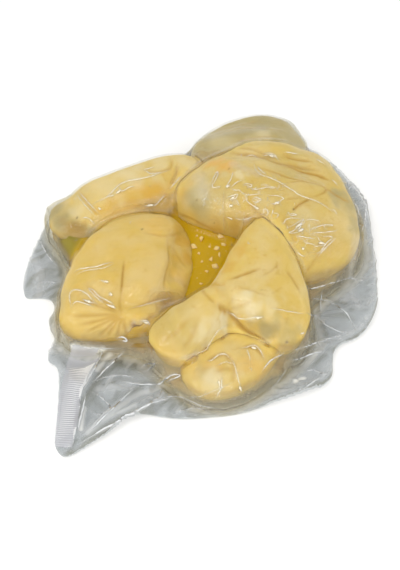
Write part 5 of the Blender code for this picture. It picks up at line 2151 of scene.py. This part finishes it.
class Crumbs:
    """Crumbs of curd that float in the brine between the cheeses."""

    large_px = [(201, 240), (193, 247), (220, 237), (217, 249), (220, 255), (212, 260),
                (215, 267), (223, 245)]
    small_px = [(202, 262), (206, 272), (201, 284), (210, 247), (197, 236), (199, 254)]
    fine_count = 14

    def build(self, view: PhotoView, pool: BrinePool,
              look: bpy.types.Material) -> bpy.types.Object:
        """Makes all crumbs as one piece.

        Args:
            view: the photograph's view.
            pool: the brine.
            look: their material.

        Returns:
            The piece.
        """
        draw = np.random.default_rng(5)
        spots = [(p, draw.uniform(2.6, 4.0) * MM) for p in self.large_px]
        spots += [(p, draw.uniform(1.3, 1.9) * MM) for p in self.small_px]
        for _ in range(self.fine_count):
            pixel = (draw.uniform(188, 228), draw.uniform(230, 284))
            spots.append((pixel, draw.uniform(0.3, 0.7) * MM))
        points, faces = [], []
        for k, (pixel, size) in enumerate(spots):
            place = view.on_level(pixel, 20.5 * MM)
            place[2] = pool.grid.sample(pool.level, place[0:1], place[1:2])[0]
            if place[2] < 12 * MM:
                continue
            self.flake(points, faces, place, size, draw)
        piece = new_object("curd_crumbs", np.array(points), faces)
        piece.data.shade_flat()
        piece.data.materials.append(look)
        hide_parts("brine")
        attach(piece, "root")
        log.info("%s: %d faces", piece.name, len(faces))
        return piece

    @staticmethod
    def flake(points: list, faces: list, place: np.ndarray, size: float,
              draw: np.random.Generator) -> None:
        """Adds one broken flake of curd, flat and angular.

        Args:
            points: the corners so far.
            faces: the faces so far.
            place: its middle.
            size: half its length.
            draw: gives its corners.
        """
        first = len(points)
        sides = int(draw.integers(4, 7))
        turns = np.sort(draw.uniform(0, math.tau, sides))
        turns = 0.5 * turns + 0.5 * np.linspace(0, math.tau, sides, endpoint=False)
        reach = size * draw.uniform(0.55, 1.1, sides)
        stretch, turn = draw.uniform(0.75, 1.3), draw.uniform(0, math.tau)
        for rise, shrink in ((-0.3, 0.8), (0.1, 1.0), (0.4, 0.7)):
            for angle, r in zip(turns, reach):
                x, y = r * shrink * math.cos(angle) * stretch, r * shrink * math.sin(angle)
                points.append((place[0] + x * math.cos(turn) - y * math.sin(turn),
                               place[1] + x * math.sin(turn) + y * math.cos(turn),
                               place[2] + rise * size + draw.uniform(0, 0.12) * size))
        for layer in range(2):
            for side in range(sides):
                a = first + layer * sides + side
                b = first + layer * sides + (side + 1) % sides
                faces.append((a, b, b + sides, a + sides))
        faces.append(tuple(first + 2 * sides + k for k in range(sides)))
        faces.append(tuple(first + sides - 1 - k for k in range(sides)))


# ---------------------------------------------------------------------------------------------
# The studio


@dataclass(frozen=True)
class Lamp:
    """A square soft box that shines on the pack.

    Attributes:
        name: its name.
        place: where it hangs.
        width: its side.
        power: in watts.
        tone: its colour.
    """

    name: str
    place: tuple[float, float, float]
    width: float
    power: float
    tone: str = "ffffff"

    def build(self, aim: Vector) -> bpy.types.Object:
        """Makes the lamp and turns it to its aim."""
        lamp = bpy.data.lights.new(self.name, "AREA")
        lamp.size = self.width
        lamp.energy = self.power
        lamp.color = linear(self.tone)[:3]
        made = bpy.data.objects.new(self.name, lamp)
        bpy.context.scene.collection.objects.link(made)
        made.location = self.place
        made.rotation_euler = (aim - made.location).to_track_quat("-Z", "Y").to_euler()
        return made


class Studio:
    """A plain pale floor, soft light and the photograph's camera."""

    lamps = [
        Lamp("overhead_box", (-0.35, -0.05, 0.95), 0.6, 1.9, "fffaf2"),
        Lamp("front_box", (-0.6, -0.65, 0.6), 0.35, 1.2),
        Lamp("camera_box", (0.1, -1.1, 0.75), 0.9, 2.8, "fffdf8"),
        Lamp("right_box", (0.8, 0.1, 0.55), 0.4, 0.9, "f8faff"),
        Lamp("front_spark", (0.2, -0.8, 0.5), 0.12, 0.4),
        Lamp("window_spark", (-0.5, -0.3, 0.9), 0.16, 0.5, "fbfcff"),
    ]
    floor_size = 3.0
    floor_drop = 0.2 * MM
    horizon = 1.1
    zenith = 0.7

    def build(self, view: PhotoView) -> None:
        """Places camera, floor, lamps and world."""
        view.place()
        s = self.floor_size
        corners = np.array([(-s, -s, -self.floor_drop), (s, -s, -self.floor_drop),
                            (s, s, -self.floor_drop), (-s, s, -self.floor_drop)])
        floor = new_object("floor", corners, [(0, 1, 2, 3)])
        floor.data.materials.append(PlainPaper().build())
        for lamp in self.lamps:
            lamp.build(Vector(view.aim))
        scene = bpy.context.scene
        world = bpy.data.worlds.new("studio")
        world.use_nodes = True
        tree = world.node_tree
        tree.nodes.clear()
        way = node(tree, "ShaderNodeTexCoord").outputs["Generated"]
        height = node(tree, "ShaderNodeSeparateXYZ", {}, {0: way}).outputs[2]
        strength = node(tree, "ShaderNodeMapRange",
                        {1: 0.0, 2: 1.0, 3: self.horizon, 4: self.zenith}, {0: height})
        sky = node(tree, "ShaderNodeBackground", {"Color": linear("ffffff")},
                   {"Strength": strength.outputs[0]})
        node(tree, "ShaderNodeOutputWorld", {}, {0: sky.outputs[0]})
        scene.world = world
        scene.view_settings.view_transform = "Standard"
        scene.cycles.transparent_max_bounces = 32
        scene.cycles.max_bounces = 10


def main() -> None:
    """Builds the pack piece by piece."""
    view = PhotoView()
    Studio().build(view)
    curd = BrinedCurd().build()
    cheeses = [cheese.build(view, curd) for cheese in CHEESES]
    pool = BrinePool()
    brine = pool.build(cheeses, view, CloudyBrine().build())
    Crumbs().build(view, pool, CurdCrumb().build())
    film = Film(rim_of(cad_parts["bag"]), cheeses + [brine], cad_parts["bag"], view,
                pool)
    film.build(BarrierFilm().build())
    PinchedFolds(film).build(PinchedFilm().build())
    SealBand().build(view, film, WeldedFilm().build())


if __name__ == "__main__":
    logging.basicConfig(level=logging.INFO, format="%(message)s")
    main()
